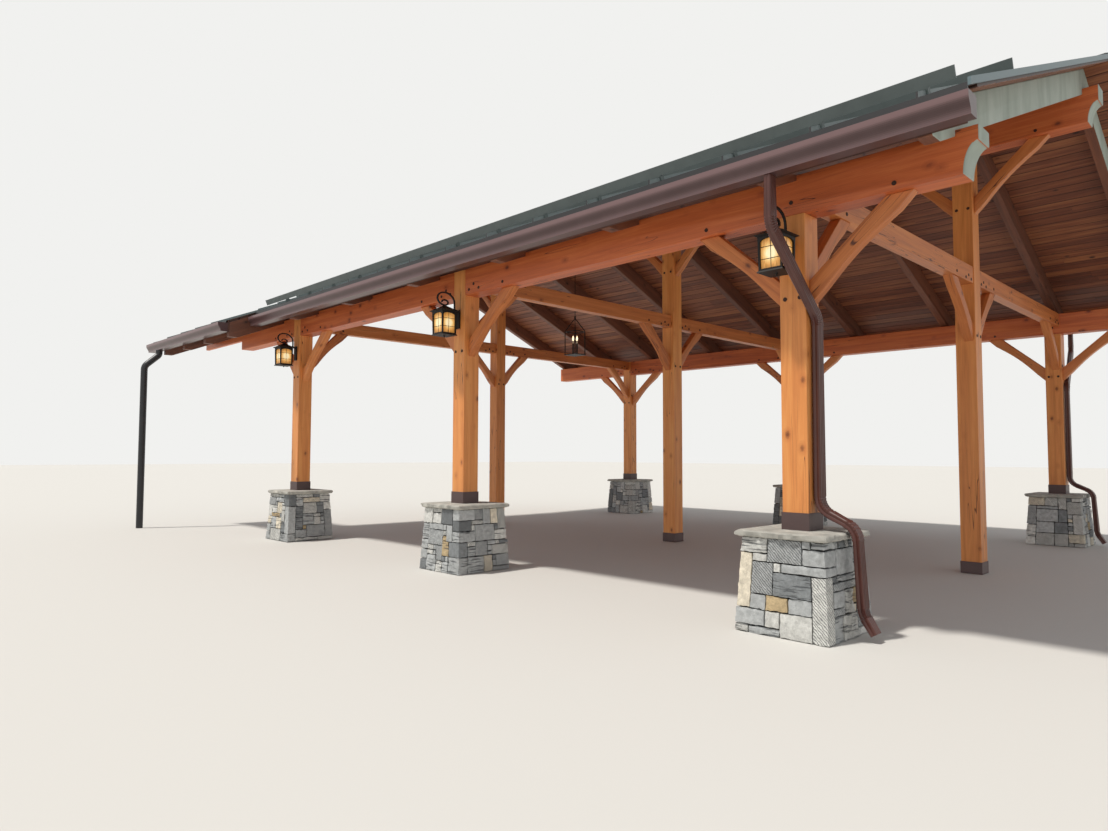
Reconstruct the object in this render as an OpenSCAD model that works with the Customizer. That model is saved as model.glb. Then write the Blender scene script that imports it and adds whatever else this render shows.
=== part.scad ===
/* [Plan] */
// Distance between the three bents along the ridge
bay = 4150; // [3600:10:4800]
// Distance from the centre row of posts to each outer row
half_span = 3960; // [3500:10:4400]
// Length of the beams past the near bent
beam_over = 1300; // [900:10:1500]
// Length of the beams past the far bent
beam_far = 2150; // [1500:10:2600]
// Distance from the far bent to the step in the front eave
step_from_bent = 470; // [350:10:700]
// Length of the low roof strip past the far end of the ridge
strip_len = 1770; // [1000:10:2200]

/* [Heights] */
// Height of a stone pier with its cap
pier_h = 750; // [600:5:900]
// Height of the underside of the plates
plate_z = 3130; // [2800:10:3500]

/* [Timbers] */
// Width of a post and of every beam that it carries
post_w = 210; // [180:5:240]
// Depth of a plate
plate_h = 300; // [240:5:340]
// Depth of a tie beam
tie_h = 190; // [150:5:230]
// Width of a tie beam
tie_w = 125; // [100:5:160]
// Depth of the ridge beam
ridge_h = 360; // [300:5:400]
// Length of a plate brace along the plate
brace_leg = 770; // [650:10:900]
// Length of a plate brace or a ridge brace down the post
brace_drop = 700; // [600:10:850]
// Length of a tie brace along the tie and down the post
tie_brace_leg = 650; // [550:10:750]
// Thickness of a knee brace
brace_t = 95; // [80:5:120]
// Width of a rafter
rafter_w = 100; // [90:5:140]
// Upright depth of a rafter
rafter_h = 270; // [220:5:300]
// Distance between rafters
rafter_step = 1530; // [1300:10:1700]

/* [Roof] */
// Fall of the roof in each millimetre of run
pitch = 0.4167; // [0.36:0.005:0.45]
// Run of the roof past the centre of a plate
eave_run = 570; // [500:10:650]
// Extra run of the roof at the stepped part of the front eave
step_run = 450; // [300:10:550]
// Thickness of the ceiling boards
board_t = 38; // [18:1:40]
// Distance between the standing seams
seam_step = 697; // [450:1:760]
// Height of a standing seam
seam_h = 38; // [25:1:45]
// Height of the top of a snow guard bar above the sheet
guard_h = 127; // [110:1:160]

/* [Piers] */
// Width of a pier at the ground
pier_base_w = 740; // [600:10:850]
// Width of a pier under its cap
pier_top_w = 650; // [520:10:700]
// Width of a pier cap
cap_w = 730; // [620:10:800]
// Thickness of a pier cap
cap_t = 50; // [40:5:100]
// Height of the metal shoe round the foot of a post
shoe_h = 130; // [100:10:220]

/* [Rainwater] */
// Depth of a gutter from front to back
gutter_w = 145; // [110:5:160]
// Height of a gutter
gutter_h = 135; // [100:5:150]
// Width of a downspout across the face of a post
spout_w = 86; // [75:1:110]
// Depth of a downspout off the face of a post
spout_d = 52; // [45:1:60]
// Width of the round pipe at the far end
far_pipe_w = 110; // [80:5:120]

/* [Lanterns] */
// Width of a wall lantern
lantern_w = 200; // [170:5:210]
// Height of the glazed body of a wall lantern
lantern_h = 255; // [220:5:300]
// Width of the hanging lantern
pendant_w = 255; // [200:5:320]
// Height of the cage of the hanging lantern
pendant_h = 400; // [320:5:460]

/* [Hidden] */

half_w = post_w / 2;
cap_z = pier_h - cap_t;
plate_top = plate_z + plate_h;
tie_z = plate_top - tie_h;

// The underside of the rafters crosses the middle of the plate top
rafter_rise = pitch * half_span;
rafter_z0 = plate_top + rafter_rise;
rafter_notch = 20;
ridge_top = rafter_z0 + rafter_notch;
ridge_z = ridge_top - ridge_h;
board_z0 = rafter_z0 + rafter_h;
board_up = board_t * sqrt(1 + pitch * pitch);
sheet_t = 6;
sheet_z0 = board_z0 + board_up;
sheet_top0 = sheet_z0 + sheet_t;

// Eave lines, measured from the ridge
drip_over = 60;
drip_run = half_span + eave_run;
tail_tip = drip_run - drip_over;
tail_tip_h = 215;
fascia_t = 25;
fascia_out = tail_tip + fascia_t;
gutter_drop = 100;
step_drop = 40;

// Positions along the ridge, with the bents named near, mid and far
rake_past_beam = 75;
rake_over = beam_over + rake_past_beam;
end_rafter_in = 215;
x_near_rake = bay + rake_over;
x_far_beam = -bay - beam_far;
x_step = -bay - step_from_bent;
x_strip = x_far_beam - strip_len;
gutter_over = 35;
x_shift = -(x_near_rake + gutter_over + x_strip - gutter_over) / 2;
far_pipe_swing = 235;
y_far_outlet = -(fascia_out + step_run + gutter_w / 2);
y_far_pipe = y_far_outlet - far_pipe_swing;
y_front = y_far_pipe - far_pipe_w / 2;
y_rear = fascia_out + gutter_w;
y_shift = -(y_front + y_rear) / 2;

BENTS = [-bay, 0, bay];
FAR = 0;
MID = 1;
NEAR = 2;
common_count = floor((2 * bay + rafter_step / 2) / rafter_step) + 1;
COMMON = [for (k = [0 : common_count - 1]) bay - k * rafter_step];
x_end_rafter = x_near_rake - end_rafter_in - rafter_w / 2;
x_far_rafter = x_far_beam + rafter_w / 2;
step_rafter_gap = 980;
x_step_rafter = x_step - rafter_w / 2;
strip_back = half_span + half_w;
ledger_t = 60;
ledger_h = 100;
ledger_in = 60;
cove = 95;
cove_h = 200;
cove_steps = 12;
seam_w = 14;
metal_t = 3;
joint = 1;

wood = "peru";
boards = "sienna";
iron = "#26211f";
gutter_brown = "#5b3f35";
slate = "#5f6b68";

module in_place() {
    translate([x_shift, y_shift, 0]) children();
}

// Runs a shape drawn in Y and Z along X from x0 to x1
module along_x(x0, x1) {
    translate([x0, 0, 0]) rotate([90, 0, 90]) linear_extrude(x1 - x0) children();
}

module battered_block(base_w, top_w, h) {
    k = top_w / base_w;
    linear_extrude(h, scale = k) square(base_w, center = true);
}

module pier(x, y) {
    color("darkgray") in_place() translate([x, y, 0]) battered_block(pier_base_w, pier_top_w, cap_z);
}

module pier_caps(y) {
    color("lightgray") in_place() for (x = BENTS)
        translate([x - cap_w / 2, y - cap_w / 2, cap_z]) cube([cap_w, cap_w, cap_t]);
}

module post(x, y, z0, z1) {
    color(wood) in_place() translate([x - half_w, y - half_w, z0]) cube([post_w, post_w, z1 - z0]);
}

shoe_t = 6;
shoe_lift = 3;
module shoe(x, y, z0) {
    translate([x, y, z0]) linear_extrude(shoe_h) difference() {
        square(post_w + 2 * shoe_t, center = true);
        square(post_w, center = true);
    }
}

module post_shoes() {
    color("saddlebrown") in_place() for (x = BENTS) {
        shoe(x, -half_span, pier_h);
        shoe(x, 0, shoe_lift);
        shoe(x, half_span, pier_h);
    }
}

// A beam seen from the side, with a cove cut under its near end
module coved_side(x0, x1, h) {
    hollow = [for (i = [0 : cove_steps]) let (a = 90 * i / cove_steps)
        [x1 - cove * cos(a), cove_h * sin(a)]];
    polygon(concat([[x0, 0]], hollow, [[x1, h], [x0, h]]));
}

module coved_beam(x0, x1, y, z, h) {
    translate([0, y + half_w, z]) rotate([90, 0, 0]) linear_extrude(post_w) coved_side(x0, x1, h);
}

module plain_beam(x0, x1, y, z, h) {
    translate([x0, y - half_w, z]) cube([x1 - x0, post_w, h]);
}

// A plate is a row of lengths tenoned between the posts
module plate(y) {
    plain_beam(x_far_beam, -bay - half_w, y, plate_z, plate_h);
    plain_beam(-bay + half_w, -half_w, y, plate_z, plate_h);
    plain_beam(half_w, bay - half_w, y, plate_z, plate_h);
    coved_beam(bay + half_w, bay + beam_over, y, plate_z, plate_h);
}

// The strip of roof past the beams rests on a ledger in line with the front plate
module strip_ledger() {
    ledger_top = rafter_z0 - pitch * strip_back;
    translate([x_strip + ledger_in, -strip_back, ledger_top - ledger_h])
        cube([strip_len - ledger_in, ledger_t, ledger_h]);
}

module front_plate() {
    color(wood) in_place() {
        plate(-half_span);
        strip_ledger();
    }
}

module rear_plate() {
    color(wood) in_place() plate(half_span);
}

module ridge_beam() {
    color(wood) in_place() coved_beam(x_far_beam, bay + beam_over, 0, ridge_z, ridge_h);
}

// The ties of the near bent stand almost flush with the open side of its posts
tie_reveal = 10;
function tie_x(x) = x > 0 ? x + half_w - tie_reveal - tie_w / 2 : x;
module tie_beam(x) {
    color(wood) in_place() for (side = [-1, 1])
        translate([tie_x(x) - tie_w / 2, side * half_span / 2 - half_span / 2 + half_w, tie_z])
            cube([tie_w, half_span - post_w, tie_h]);
}

// Knee brace in the corner under a beam, with straight shoulders and a shallow arch between them
brace_bearing = 190;
brace_shoulder = 110;
brace_bow = 28;
brace_steps = 10;
module brace_side(leg, drop) {
    head = [leg - brace_shoulder, -brace_shoulder];
    foot = [brace_shoulder, brace_shoulder - drop];
    chord = foot - head;
    toward_corner = [chord[1], -chord[0]] / norm(chord);
    arch = [for (i = [0 : brace_steps]) let (t = i / brace_steps)
        head + t * chord + brace_bow * sin(180 * t) * toward_corner];
    polygon(concat([[leg, 0]], arch, [[0, -drop], [0, brace_bearing - drop], [leg - brace_bearing, 0]]));
}

// Turned so that the brace leaves the post at (x, y) toward the given heading, under height z
module brace(x, y, z, heading, leg, drop) {
    translate([x, y, z]) rotate([0, 0, heading]) translate([half_w, brace_t / 2, 0])
        rotate([90, 0, 0]) linear_extrude(brace_t) brace_side(leg, drop);
}

module braces_outer(x, y) {
    toward_ridge = y < 0 ? 90 : -90;
    color(wood) in_place() {
        brace(x, y, plate_z, 0, brace_leg, brace_drop);
        brace(x, y, plate_z, 180, brace_leg, brace_drop);
        brace(tie_x(x), y, tie_z, toward_ridge, tie_brace_leg, tie_brace_leg);
    }
}

ridge_brace_leg = 740;
module braces_centre(x) {
    color(wood) in_place() {
        brace(x, 0, ridge_z, 0, ridge_brace_leg, brace_drop);
        brace(x, 0, ridge_z, 180, ridge_brace_leg, brace_drop);
        brace(tie_x(x), 0, tie_z, 90, tie_brace_leg, tie_brace_leg);
        brace(tie_x(x), 0, tie_z, -90, tie_brace_leg, tie_brace_leg);
    }
}

// Side view of a rafter, from the ridge at 0 down to its level cut tail
function rafter_under(run) = rafter_z0 - pitch * run;
function rafter_over(run) = board_z0 - pitch * run;
module rafter_side(tip) {
    cut_z = rafter_over(tip) - tail_tip_h;
    cut_run = (rafter_z0 - cut_z) / pitch;
    seat_out = half_span + half_w;
    polygon([[0, ridge_top], [half_w, ridge_top], [half_w, rafter_under(half_w)],
        [half_span, plate_top], [seat_out, plate_top], [seat_out, rafter_under(seat_out)],
        [cut_run, cut_z], [tip, cut_z], [tip, rafter_over(tip)], [0, rafter_over(0)]]);
}

// The last full rafter stops over the plate
module short_rafter_side() {
    seat_out = half_span + half_w;
    polygon([[0, ridge_top], [half_w, ridge_top], [half_w, rafter_under(half_w)],
        [half_span, plate_top], [seat_out, plate_top],
        [seat_out, rafter_over(seat_out)], [0, rafter_over(0)]]);
}

module tail_side(tip) {
    cut_z = rafter_over(tip) - tail_tip_h;
    cut_run = (rafter_z0 - cut_z) / pitch;
    back = strip_back - ledger_t;
    polygon([[back, rafter_under(strip_back)], [strip_back, rafter_under(strip_back)],
        [cut_run, cut_z], [tip, cut_z], [tip, rafter_over(tip)], [back, rafter_over(back)]]);
}

module slope_piece(x, w, side) {
    mirror([0, side < 0 ? 1 : 0, 0]) along_x(x - w / 2, x + w / 2) children();
}

module rafters_front() {
    color(wood) in_place() {
        for (x = concat(COMMON, [x_end_rafter])) slope_piece(x, rafter_w, -1) rafter_side(tail_tip);
        for (x = [x_step_rafter, x_step_rafter - step_rafter_gap])
            slope_piece(x, rafter_w, -1) rafter_side(tail_tip + step_run);
        for (k = [2, 3])
            slope_piece(x_step_rafter - k * step_rafter_gap, rafter_w, -1) tail_side(tail_tip + step_run);
        slope_piece(x_far_rafter, rafter_w, -1) short_rafter_side();
    }
}

module rafters_rear() {
    far = [-bay - rafter_step / 2, x_far_rafter];
    color(wood) in_place() for (x = concat(COMMON, far, [x_end_rafter]))
        slope_piece(x, rafter_w, 1) rafter_side(tail_tip);
}

// A layer of the roof between two runs, with its underside at z0 over the ridge
module layer_side(run0, run1, z0, t) {
    polygon([[run0, z0 - pitch * run0], [run1, z0 - pitch * run1],
        [run1, z0 - pitch * run1 + t], [run0, z0 - pitch * run0 + t]]);
}

// The front slope has three panels that meet at open joints: the main one, the step and the strip
module ceiling_panels_front() {
    slope_run(x_far_beam, x_near_rake, -1) layer_side(0, tail_tip, board_z0, board_up);
    slope_run(x_far_beam, x_step, -1)
        layer_side(tail_tip + joint, tail_tip + step_run, board_z0, board_up);
    slope_run(x_strip, x_far_beam - joint, -1)
        layer_side(strip_back - ledger_t, tail_tip + step_run, board_z0, board_up);
}

module slope_run(x0, x1, side) {
    mirror([0, side < 0 ? 1 : 0, 0]) along_x(x0, x1) children();
}

// The roof sheet folds down over the edge of the eave, less far where the gutter sits close under it
hem_h = 50;
hem_step_h = 25;
module hem_side(run, h) {
    layer_side(run - sheet_t, run, sheet_z0 - h, sheet_t + h);
}

module sheet_front() {
    slope_run(x_far_beam, x_near_rake, -1) layer_side(0, drip_run, sheet_z0, sheet_t);
    slope_run(x_step, x_near_rake, -1) hem_side(drip_run, hem_h);
    slope_run(x_far_beam, x_step, -1) {
        layer_side(drip_run + joint, drip_run + step_run, sheet_z0, sheet_t);
        hem_side(drip_run + step_run, hem_step_h);
    }
    slope_run(x_strip, x_far_beam - joint, -1) {
        layer_side(strip_back - ledger_t, drip_run + step_run, sheet_z0, sheet_t);
        hem_side(drip_run + step_run, hem_step_h);
    }
}

module ceiling_front() {
    color(boards) in_place() ceiling_panels_front();
}

module ceiling_rear() {
    color(boards) in_place() slope_run(x_far_beam, x_near_rake, 1)
        layer_side(0, tail_tip, board_z0, board_up);
}

seam_start = 285;
seam_end = 100;
function seams(x0, x1) = [for (x = [x1 - seam_start : -seam_step : x0 + seam_end]) x];
seam_top = 60;
module seam_ribs(x0, x1, run0, run1, side) {
    for (x = seams(x0, x1))
        slope_piece(x, seam_w, side) layer_side(run0, run1, sheet_z0, sheet_t + seam_h);
}

module roof_sheet_front() {
    color(slate) in_place() {
        sheet_front();
        for (x = seams(x_strip, x_near_rake)) {
            if (x > x_far_beam)
                slope_piece(x, seam_w, -1) layer_side(seam_top, drip_run, sheet_z0, sheet_t + seam_h);
            if (x > x_far_beam && x < x_step)
                slope_piece(x, seam_w, -1)
                    layer_side(drip_run + joint, drip_run + step_run, sheet_z0, sheet_t + seam_h);
            if (x < x_far_beam)
                slope_piece(x, seam_w, -1)
                    layer_side(strip_back - ledger_t, drip_run + step_run, sheet_z0, sheet_t + seam_h);
        }
    }
}

module roof_sheet_rear() {
    color(slate) in_place() {
        slope_run(x_far_beam, x_near_rake, 1) {
            layer_side(0, drip_run, sheet_z0, sheet_t);
            hem_side(drip_run, hem_h);
        }
        seam_ribs(x_far_beam, x_near_rake, seam_top, drip_run, 1);
    }
}

cap_run = 150;
module ridge_cap() {
    color(slate) in_place() for (side = [-1, 1]) slope_run(x_far_beam, x_near_rake, side) difference() {
        layer_side(0, cap_run, sheet_top0, seam_h + sheet_t);
        layer_side(-1, cap_run - metal_t, sheet_top0 - 1, seam_h + 1);
    }
}

// Board across the rafter tails, carrying the gutter
module fascia_side(run, drop) {
    top = board_z0 + board_up - pitch * (run + fascia_t);
    translate([run, top - drop - gutter_h]) square([fascia_t, drop + gutter_h]);
}

fascia_in = 20;
module fascia_front() {
    color("#4a3128") in_place() {
        slope_run(x_step, x_near_rake - fascia_in, -1) fascia_side(tail_tip, gutter_drop);
        slope_run(x_strip, x_step, -1) fascia_side(tail_tip + step_run, step_drop);
    }
}

module fascia_rear() {
    color("#4a3128") in_place() slope_run(x_far_beam, x_near_rake - fascia_in, 1)
        fascia_side(tail_tip, gutter_drop);
}

rake_t = 18;
rake_h = 50;
rake_up = 27;
module rake_side(run0, run1) {
    layer_side(run0, run1, sheet_top0 + rake_up - rake_h, rake_h);
}

module rake_trim() {
    color("lightslategray") in_place() {
        for (side = [-1, 1]) slope_run(x_near_rake, x_near_rake + rake_t, side) rake_side(joint, drip_run);
        slope_run(x_far_beam - rake_t, x_far_beam, 1) rake_side(joint, drip_run);
        slope_run(x_far_beam - rake_t, x_far_beam, -1) rake_side(joint, strip_back - ledger_t - joint);
        slope_run(x_strip - rake_t, x_strip, -1) rake_side(strip_back - ledger_t, drip_run + step_run);
    }
}

// Two rows of continuous bar, each on clamps that grip the seams
guard_low = 405;
guard_high = -875;
guard_runs = [half_span + guard_low, half_span + guard_high];
guard_end_in = 105;
guard_foot = 47;
guard_bar_t = 14;
clamp_x = 40;
clamp_run = 44;
clamp_slot = seam_w + joint;
module guard_bar(run, x0, x1, side) {
    lift = sheet_top0 - pitch * run;
    slope_run(x0, x1, side) translate([run, lift]) rotate(-atan(pitch))
        translate([-guard_bar_t / 2, guard_foot]) square([guard_bar_t, guard_h - guard_foot]);
    for (x = [for (s = seams(x_strip, x_near_rake)) if (s > x0 && s < x1) s])
        mirror([0, side < 0 ? 1 : 0, 0]) translate([x, run, lift]) rotate([-atan(pitch), 0, 0]) seam_clamp();
}

module seam_clamp() {
    translate([0, clamp_run / 2, 0]) rotate([90, 0, 0]) linear_extrude(clamp_run) difference() {
        translate([-clamp_x / 2, joint]) square([clamp_x, guard_foot - joint]);
        translate([-clamp_slot / 2, 0]) square([clamp_slot, seam_h + joint]);
    }
}

module snow_guards_front() {
    color("#3c4442") in_place() {
        guard_bar(guard_runs[0], x_step + guard_end_in, x_near_rake - guard_end_in, -1);
        guard_bar(guard_runs[1], x_far_beam + guard_end_in, x_near_rake - guard_end_in, -1);
    }
}

module snow_guards_rear() {
    color("#3c4442") in_place() for (run = guard_runs)
        guard_bar(run, x_far_beam + guard_end_in, x_near_rake - guard_end_in, 1);
}

// Gutter profile: flat back, narrow floor and an ogee front that leans outward
floor_w = 105;
ogee_steps = 12;
ogee_depth = 0.16;
ogee_share = 0.86;
function ogee(t) = [
    floor_w + (gutter_w - floor_w) * (t - ogee_depth * sin(360 * t)),
    gutter_h * ogee_share * t
];
module gutter_outline() {
    front = [for (i = [0 : ogee_steps]) ogee(i / ogee_steps)];
    polygon(concat([[0, gutter_h], [0, 0]], front, [[gutter_w, gutter_h]]));
}

module gutter_shell() {
    difference() {
        gutter_outline();
        offset(delta = -metal_t) gutter_outline();
        translate([metal_t, gutter_h - 2 * metal_t]) square([gutter_w - 4 * metal_t, 3 * metal_t]);
    }
}

function gutter_z(run, drop) = sheet_z0 - pitch * (run + fascia_t) - drop - gutter_h;
module gutter(x0, x1, run, side, drop) {
    slope_run(x0, x1, side) translate([run + fascia_t, gutter_z(run, drop)]) gutter_shell();
    for (x = [x0, x1 - metal_t]) slope_run(x, x + metal_t, side)
        translate([run + fascia_t, gutter_z(run, drop)]) gutter_outline();
}

module gutter_front() {
    color(gutter_brown) in_place() gutter(x_step, x_near_rake + gutter_over, tail_tip, -1, gutter_drop);
}

module gutter_step() {
    color(gutter_brown) in_place() gutter(x_strip - gutter_over, x_step, tail_tip + step_run, -1, step_drop);
}

module gutter_rear() {
    color(gutter_brown) in_place() gutter(x_far_beam, x_near_rake + gutter_over, tail_tip, 1, gutter_drop);
}

// A pipe swept along a line of corner points, with each corner rounded in a few steps.
// The section lies across the line, its first axis as near as it can to the flat direction.
bend_steps = 5;
bend_share = 0.45;
function unit(v) = v / norm(v);
function corner_points(a, b, c, r) = let (
    arrive = unit(b - a),
    leave = unit(c - b),
    turn = acos(arrive * leave),
    reach = min(r * tan(turn / 2), bend_share * norm(b - a), bend_share * norm(c - b)),
    from = b - arrive * reach,
    to = b + leave * reach
) [for (i = [0 : bend_steps]) let (t = i / bend_steps)
    (1 - t) * (1 - t) * from + 2 * t * (1 - t) * b + t * t * to];
function rounded(points, r) = let (last = len(points) - 1) concat([points[0]],
    [for (i = [1 : last - 1]) for (p = corner_points(points[i - 1], points[i], points[i + 1], r)) p],
    [points[last]]);
function ring(line, i, flat, section) = let (
    before = line[max(i - 1, 0)],
    after = line[min(i + 1, len(line) - 1)],
    along = unit(after - before),
    level = unit(flat - (flat * along) * along),
    across = cross(along, level)
) [for (s = section) line[i] + s[0] * level + s[1] * across];

module pipe(points, r, flat, section) {
    line = rounded(points, r);
    sides = len(section);
    rings = len(line);
    vertices = [for (i = [0 : rings - 1]) for (p = ring(line, i, flat, section)) p];
    walls = [for (i = [0 : rings - 2]) for (j = [0 : sides - 1]) let (
        a = i * sides + j,
        b = i * sides + (j + 1) % sides
    ) for (face = [[a, b, b + sides], [a, b + sides, a + sides]]) face];
    top = [for (j = [sides - 1 : -1 : 0]) j];
    bottom = [for (j = [0 : sides - 1]) (rings - 1) * sides + j];
    polyhedron(vertices, concat(walls, [top, bottom]));
}

// Corners of a downspout: gutter outlet, swing to the post, over the pier cap and down its batter
outlet_x = 95;
outlet_leg = 350;
swing_leg = 600;
spout_gap = 13;
over_cap = 163;
past_cap = 31;
cap_gap = 30;
batter_out = 33;
kick_out = 86;
kick_z = 190;
spout_foot = 55;
spout_bend = 110;
function spout_points(y_side) = let (
    y_gutter = y_side * (fascia_out + floor_w / 2),
    z_gutter = gutter_z(tail_tip, gutter_drop),
    x_post = bay + half_w + spout_gap + spout_d / 2,
    y_post = y_side * half_span,
    x_pier = bay + cap_w / 2 + cap_gap + spout_d / 2
) [
    [bay + outlet_x, y_gutter, z_gutter],
    [bay + outlet_x, y_gutter, z_gutter - outlet_leg],
    [x_post, y_post, z_gutter - outlet_leg - swing_leg],
    [x_post, y_post, pier_h + over_cap],
    [x_pier, y_post, pier_h + past_cap],
    [x_pier + batter_out, y_post, kick_z],
    [x_pier + batter_out + kick_out, y_post, spout_foot]
];

module downspout(y_side) {
    half = [spout_w / 2, spout_d / 2];
    section = [for (s = [[-1, -1], [-1, 1], [1, 1], [1, -1]]) [s[0] * half[0], s[1] * half[1]]];
    color(gutter_brown) in_place() pipe(spout_points(y_side), spout_bend, [0, 1, 0], section);
}

far_pipe_in = 470;
far_first_drop = 85;
far_second_drop = 220;
far_bend = 150;
far_sides = 12;
module downspout_far() {
    x = x_strip + far_pipe_in;
    z = gutter_z(tail_tip + step_run, step_drop);
    circle_section = [for (i = [far_sides - 1 : -1 : 0]) far_pipe_w / 2 *
        [cos(360 * i / far_sides), sin(360 * i / far_sides)]];
    color("#2b2b2d") in_place() pipe([
        [x, y_far_outlet, z],
        [x, y_far_outlet, z - far_first_drop],
        [x, y_far_pipe, z - far_first_drop - far_second_drop],
        [x, y_far_pipe, 0]
    ], far_bend, [1, 0, 0], circle_section);
}

// Wall lantern on the front face of a post: back plate, scroll, roof, glazed cage and base
lantern_in = 462;
lantern_out = 195;
lantern_off = 20;
lantern_z = plate_z - lantern_in;
lantern_taper = 0.95;
frame_bar = 14;
tray_t = 12;
tray_over = 8;
window_top = 40;
scroll_bar = 16;
scroll_t = 16;
back_plate_w = 80;
back_plate_t = 14;
back_plate_low = 85;
back_plate_h = 215;

// The scroll springs from the back plate, loops over in front and curls in on the lantern's axis
arm_z = 275;
arm_out = 55;
arm_bend = 25;
arm_spring = 375;
loop_z = 411;
loop_out = 100;
loop_r = 74;
curl_out = 55;
curl_r = 34;
arm_steps = 6;
loop_steps = 8;
curl_steps = 9;
curl_turn = 280;
curl_shrink = 0.33;
scroll_top = loop_z + loop_r;
curl_z = loop_z - loop_r + curl_r;
arm_arc = [for (i = [0 : arm_steps - 1]) let (a = 90 * i / arm_steps) [
    lantern_out - (lantern_out - arm_out) * cos(a),
    arm_spring + (scroll_top - arm_spring) * sin(a)
]];
loop_arc = [for (i = [0 : loop_steps]) let (a = 180 * i / loop_steps)
    [lantern_out + loop_out * sin(a), loop_z + loop_r * cos(a)]];
curl_arc = [for (i = [1 : curl_steps]) let (
    t = i / curl_steps,
    a = 180 + curl_turn * t,
    k = 1 - curl_shrink * t
) [lantern_out + k * curl_out * sin(a), curl_z + k * curl_r * cos(a)]];
scroll = concat([[back_plate_t / 2, arm_z], [arm_out - arm_bend, arm_z], [arm_out, arm_z + arm_bend]],
    arm_arc, loop_arc, curl_arc);
function scroll_side(i, side) = let (
    a = scroll[max(i - 1, 0)],
    b = scroll[min(i + 1, len(scroll) - 1)],
    along = (b - a) / norm(b - a)
) scroll[i] + side * scroll_bar / 2 * [-along[1], along[0]];
module scroll_arm() {
    last = len(scroll) - 1;
    rotate([90, 0, 90]) mirror([1, 0, 0]) translate([0, 0, -scroll_t / 2]) linear_extrude(scroll_t)
        polygon(concat([for (i = [0 : last]) scroll_side(i, 1)],
            [for (i = [last : -1 : 0]) scroll_side(i, -1)]));
}

module window_side(w, h) {
    translate([-w / 2, frame_bar]) square([w, h - window_top - frame_bar]);
    translate([0, h - window_top]) scale([w / 2, window_top - frame_bar]) circle(1, $fn = 12);
}

module lantern_cage(w, h) {
    low = lantern_taper * w;
    difference() {
        linear_extrude(h, scale = 1 / lantern_taper) square(low, center = true);
        translate([0, 0, -joint]) linear_extrude(h + 2 * joint, scale = 1 / lantern_taper)
            square(low - 2 * frame_bar, center = true);
        for (turn = [0, 90]) rotate([90, 0, turn]) translate([0, 0, -w])
            linear_extrude(2 * w) window_side(low - 2 * frame_bar, h);
    }
}

module square_cone(w0, w1, h) {
    linear_extrude(h, scale = w1 / w0) square(w0, center = true);
}

// A flared roof: a shallow skirt past the cage, a steeper top and a small collar for the scroll
roof_over = 25;
skirt_h = 25;
skirt_share = 0.62;
peak_h = 38;
peak_w = 30;
collar_r = 12;
collar_h = 14;
module lantern_roof(w) {
    eave_w = w + 2 * roof_over;
    waist_w = skirt_share * eave_w;
    square_cone(w, eave_w, tray_t);
    translate([0, 0, tray_t]) square_cone(eave_w, waist_w, skirt_h);
    translate([0, 0, tray_t + skirt_h]) square_cone(waist_w, peak_w, peak_h);
    translate([0, 0, tray_t + skirt_h + peak_h - joint]) cylinder(collar_h, collar_r, collar_r, $fn = 8);
}

module wall_lantern(x) {
    tray_w = lantern_taper * lantern_w + 2 * tray_over;
    color(iron) in_place() translate([x - lantern_off, -half_span - half_w, lantern_z]) {
        translate([-back_plate_w / 2, -back_plate_t, back_plate_low])
            cube([back_plate_w, back_plate_t, back_plate_h]);
        translate([0, -lantern_out, 0]) {
            lantern_cage(lantern_w, lantern_h);
            translate([0, 0, -tray_t]) square_cone(tray_w + tray_over, tray_w - tray_over, tray_t);
            translate([0, 0, lantern_h]) lantern_roof(lantern_w);
        }
        scroll_arm();
    }
}

// The glass of the three wall lanterns stands on their trays, just clear of the cages
glass_gap = 1;
module lantern_glass() {
    low = lantern_taper * lantern_w - 2 * frame_bar - 2 * glass_gap;
    high = lantern_w - 2 * frame_bar - 2 * glass_gap;
    color("wheat") in_place() for (x = BENTS)
        translate([x - lantern_off, -half_span - half_w - lantern_out, lantern_z])
            square_cone(low, high, lantern_h - glass_gap);
}

// Hanging lantern: open cage, crown of four straps, candles, and a rod from the ridge beam
pendant_x = -bay / 2;
pendant_z = plate_z - 90;
crown_h = 240;
cage_bar = 12;
candle_h = 190;
candle_out = 48;
candle_r = 13;
rod_r = 6;
canopy_r = 62;
canopy_t = 22;
hub = 30;
link_gap = 0.2;
module cage_ring(w) {
    linear_extrude(cage_bar) difference() {
        square(w, center = true);
        square(w - 2 * cage_bar, center = true);
    }
}

module crown_strap(w) {
    reach = (w - cage_bar) / 2;
    hull() {
        translate([reach, reach, 0]) cylinder(cage_bar, cage_bar / 2, cage_bar / 2, $fn = 4);
        translate([0, 0, crown_h - cage_bar]) cylinder(cage_bar, cage_bar / 2, cage_bar / 2, $fn = 4);
    }
}

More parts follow.
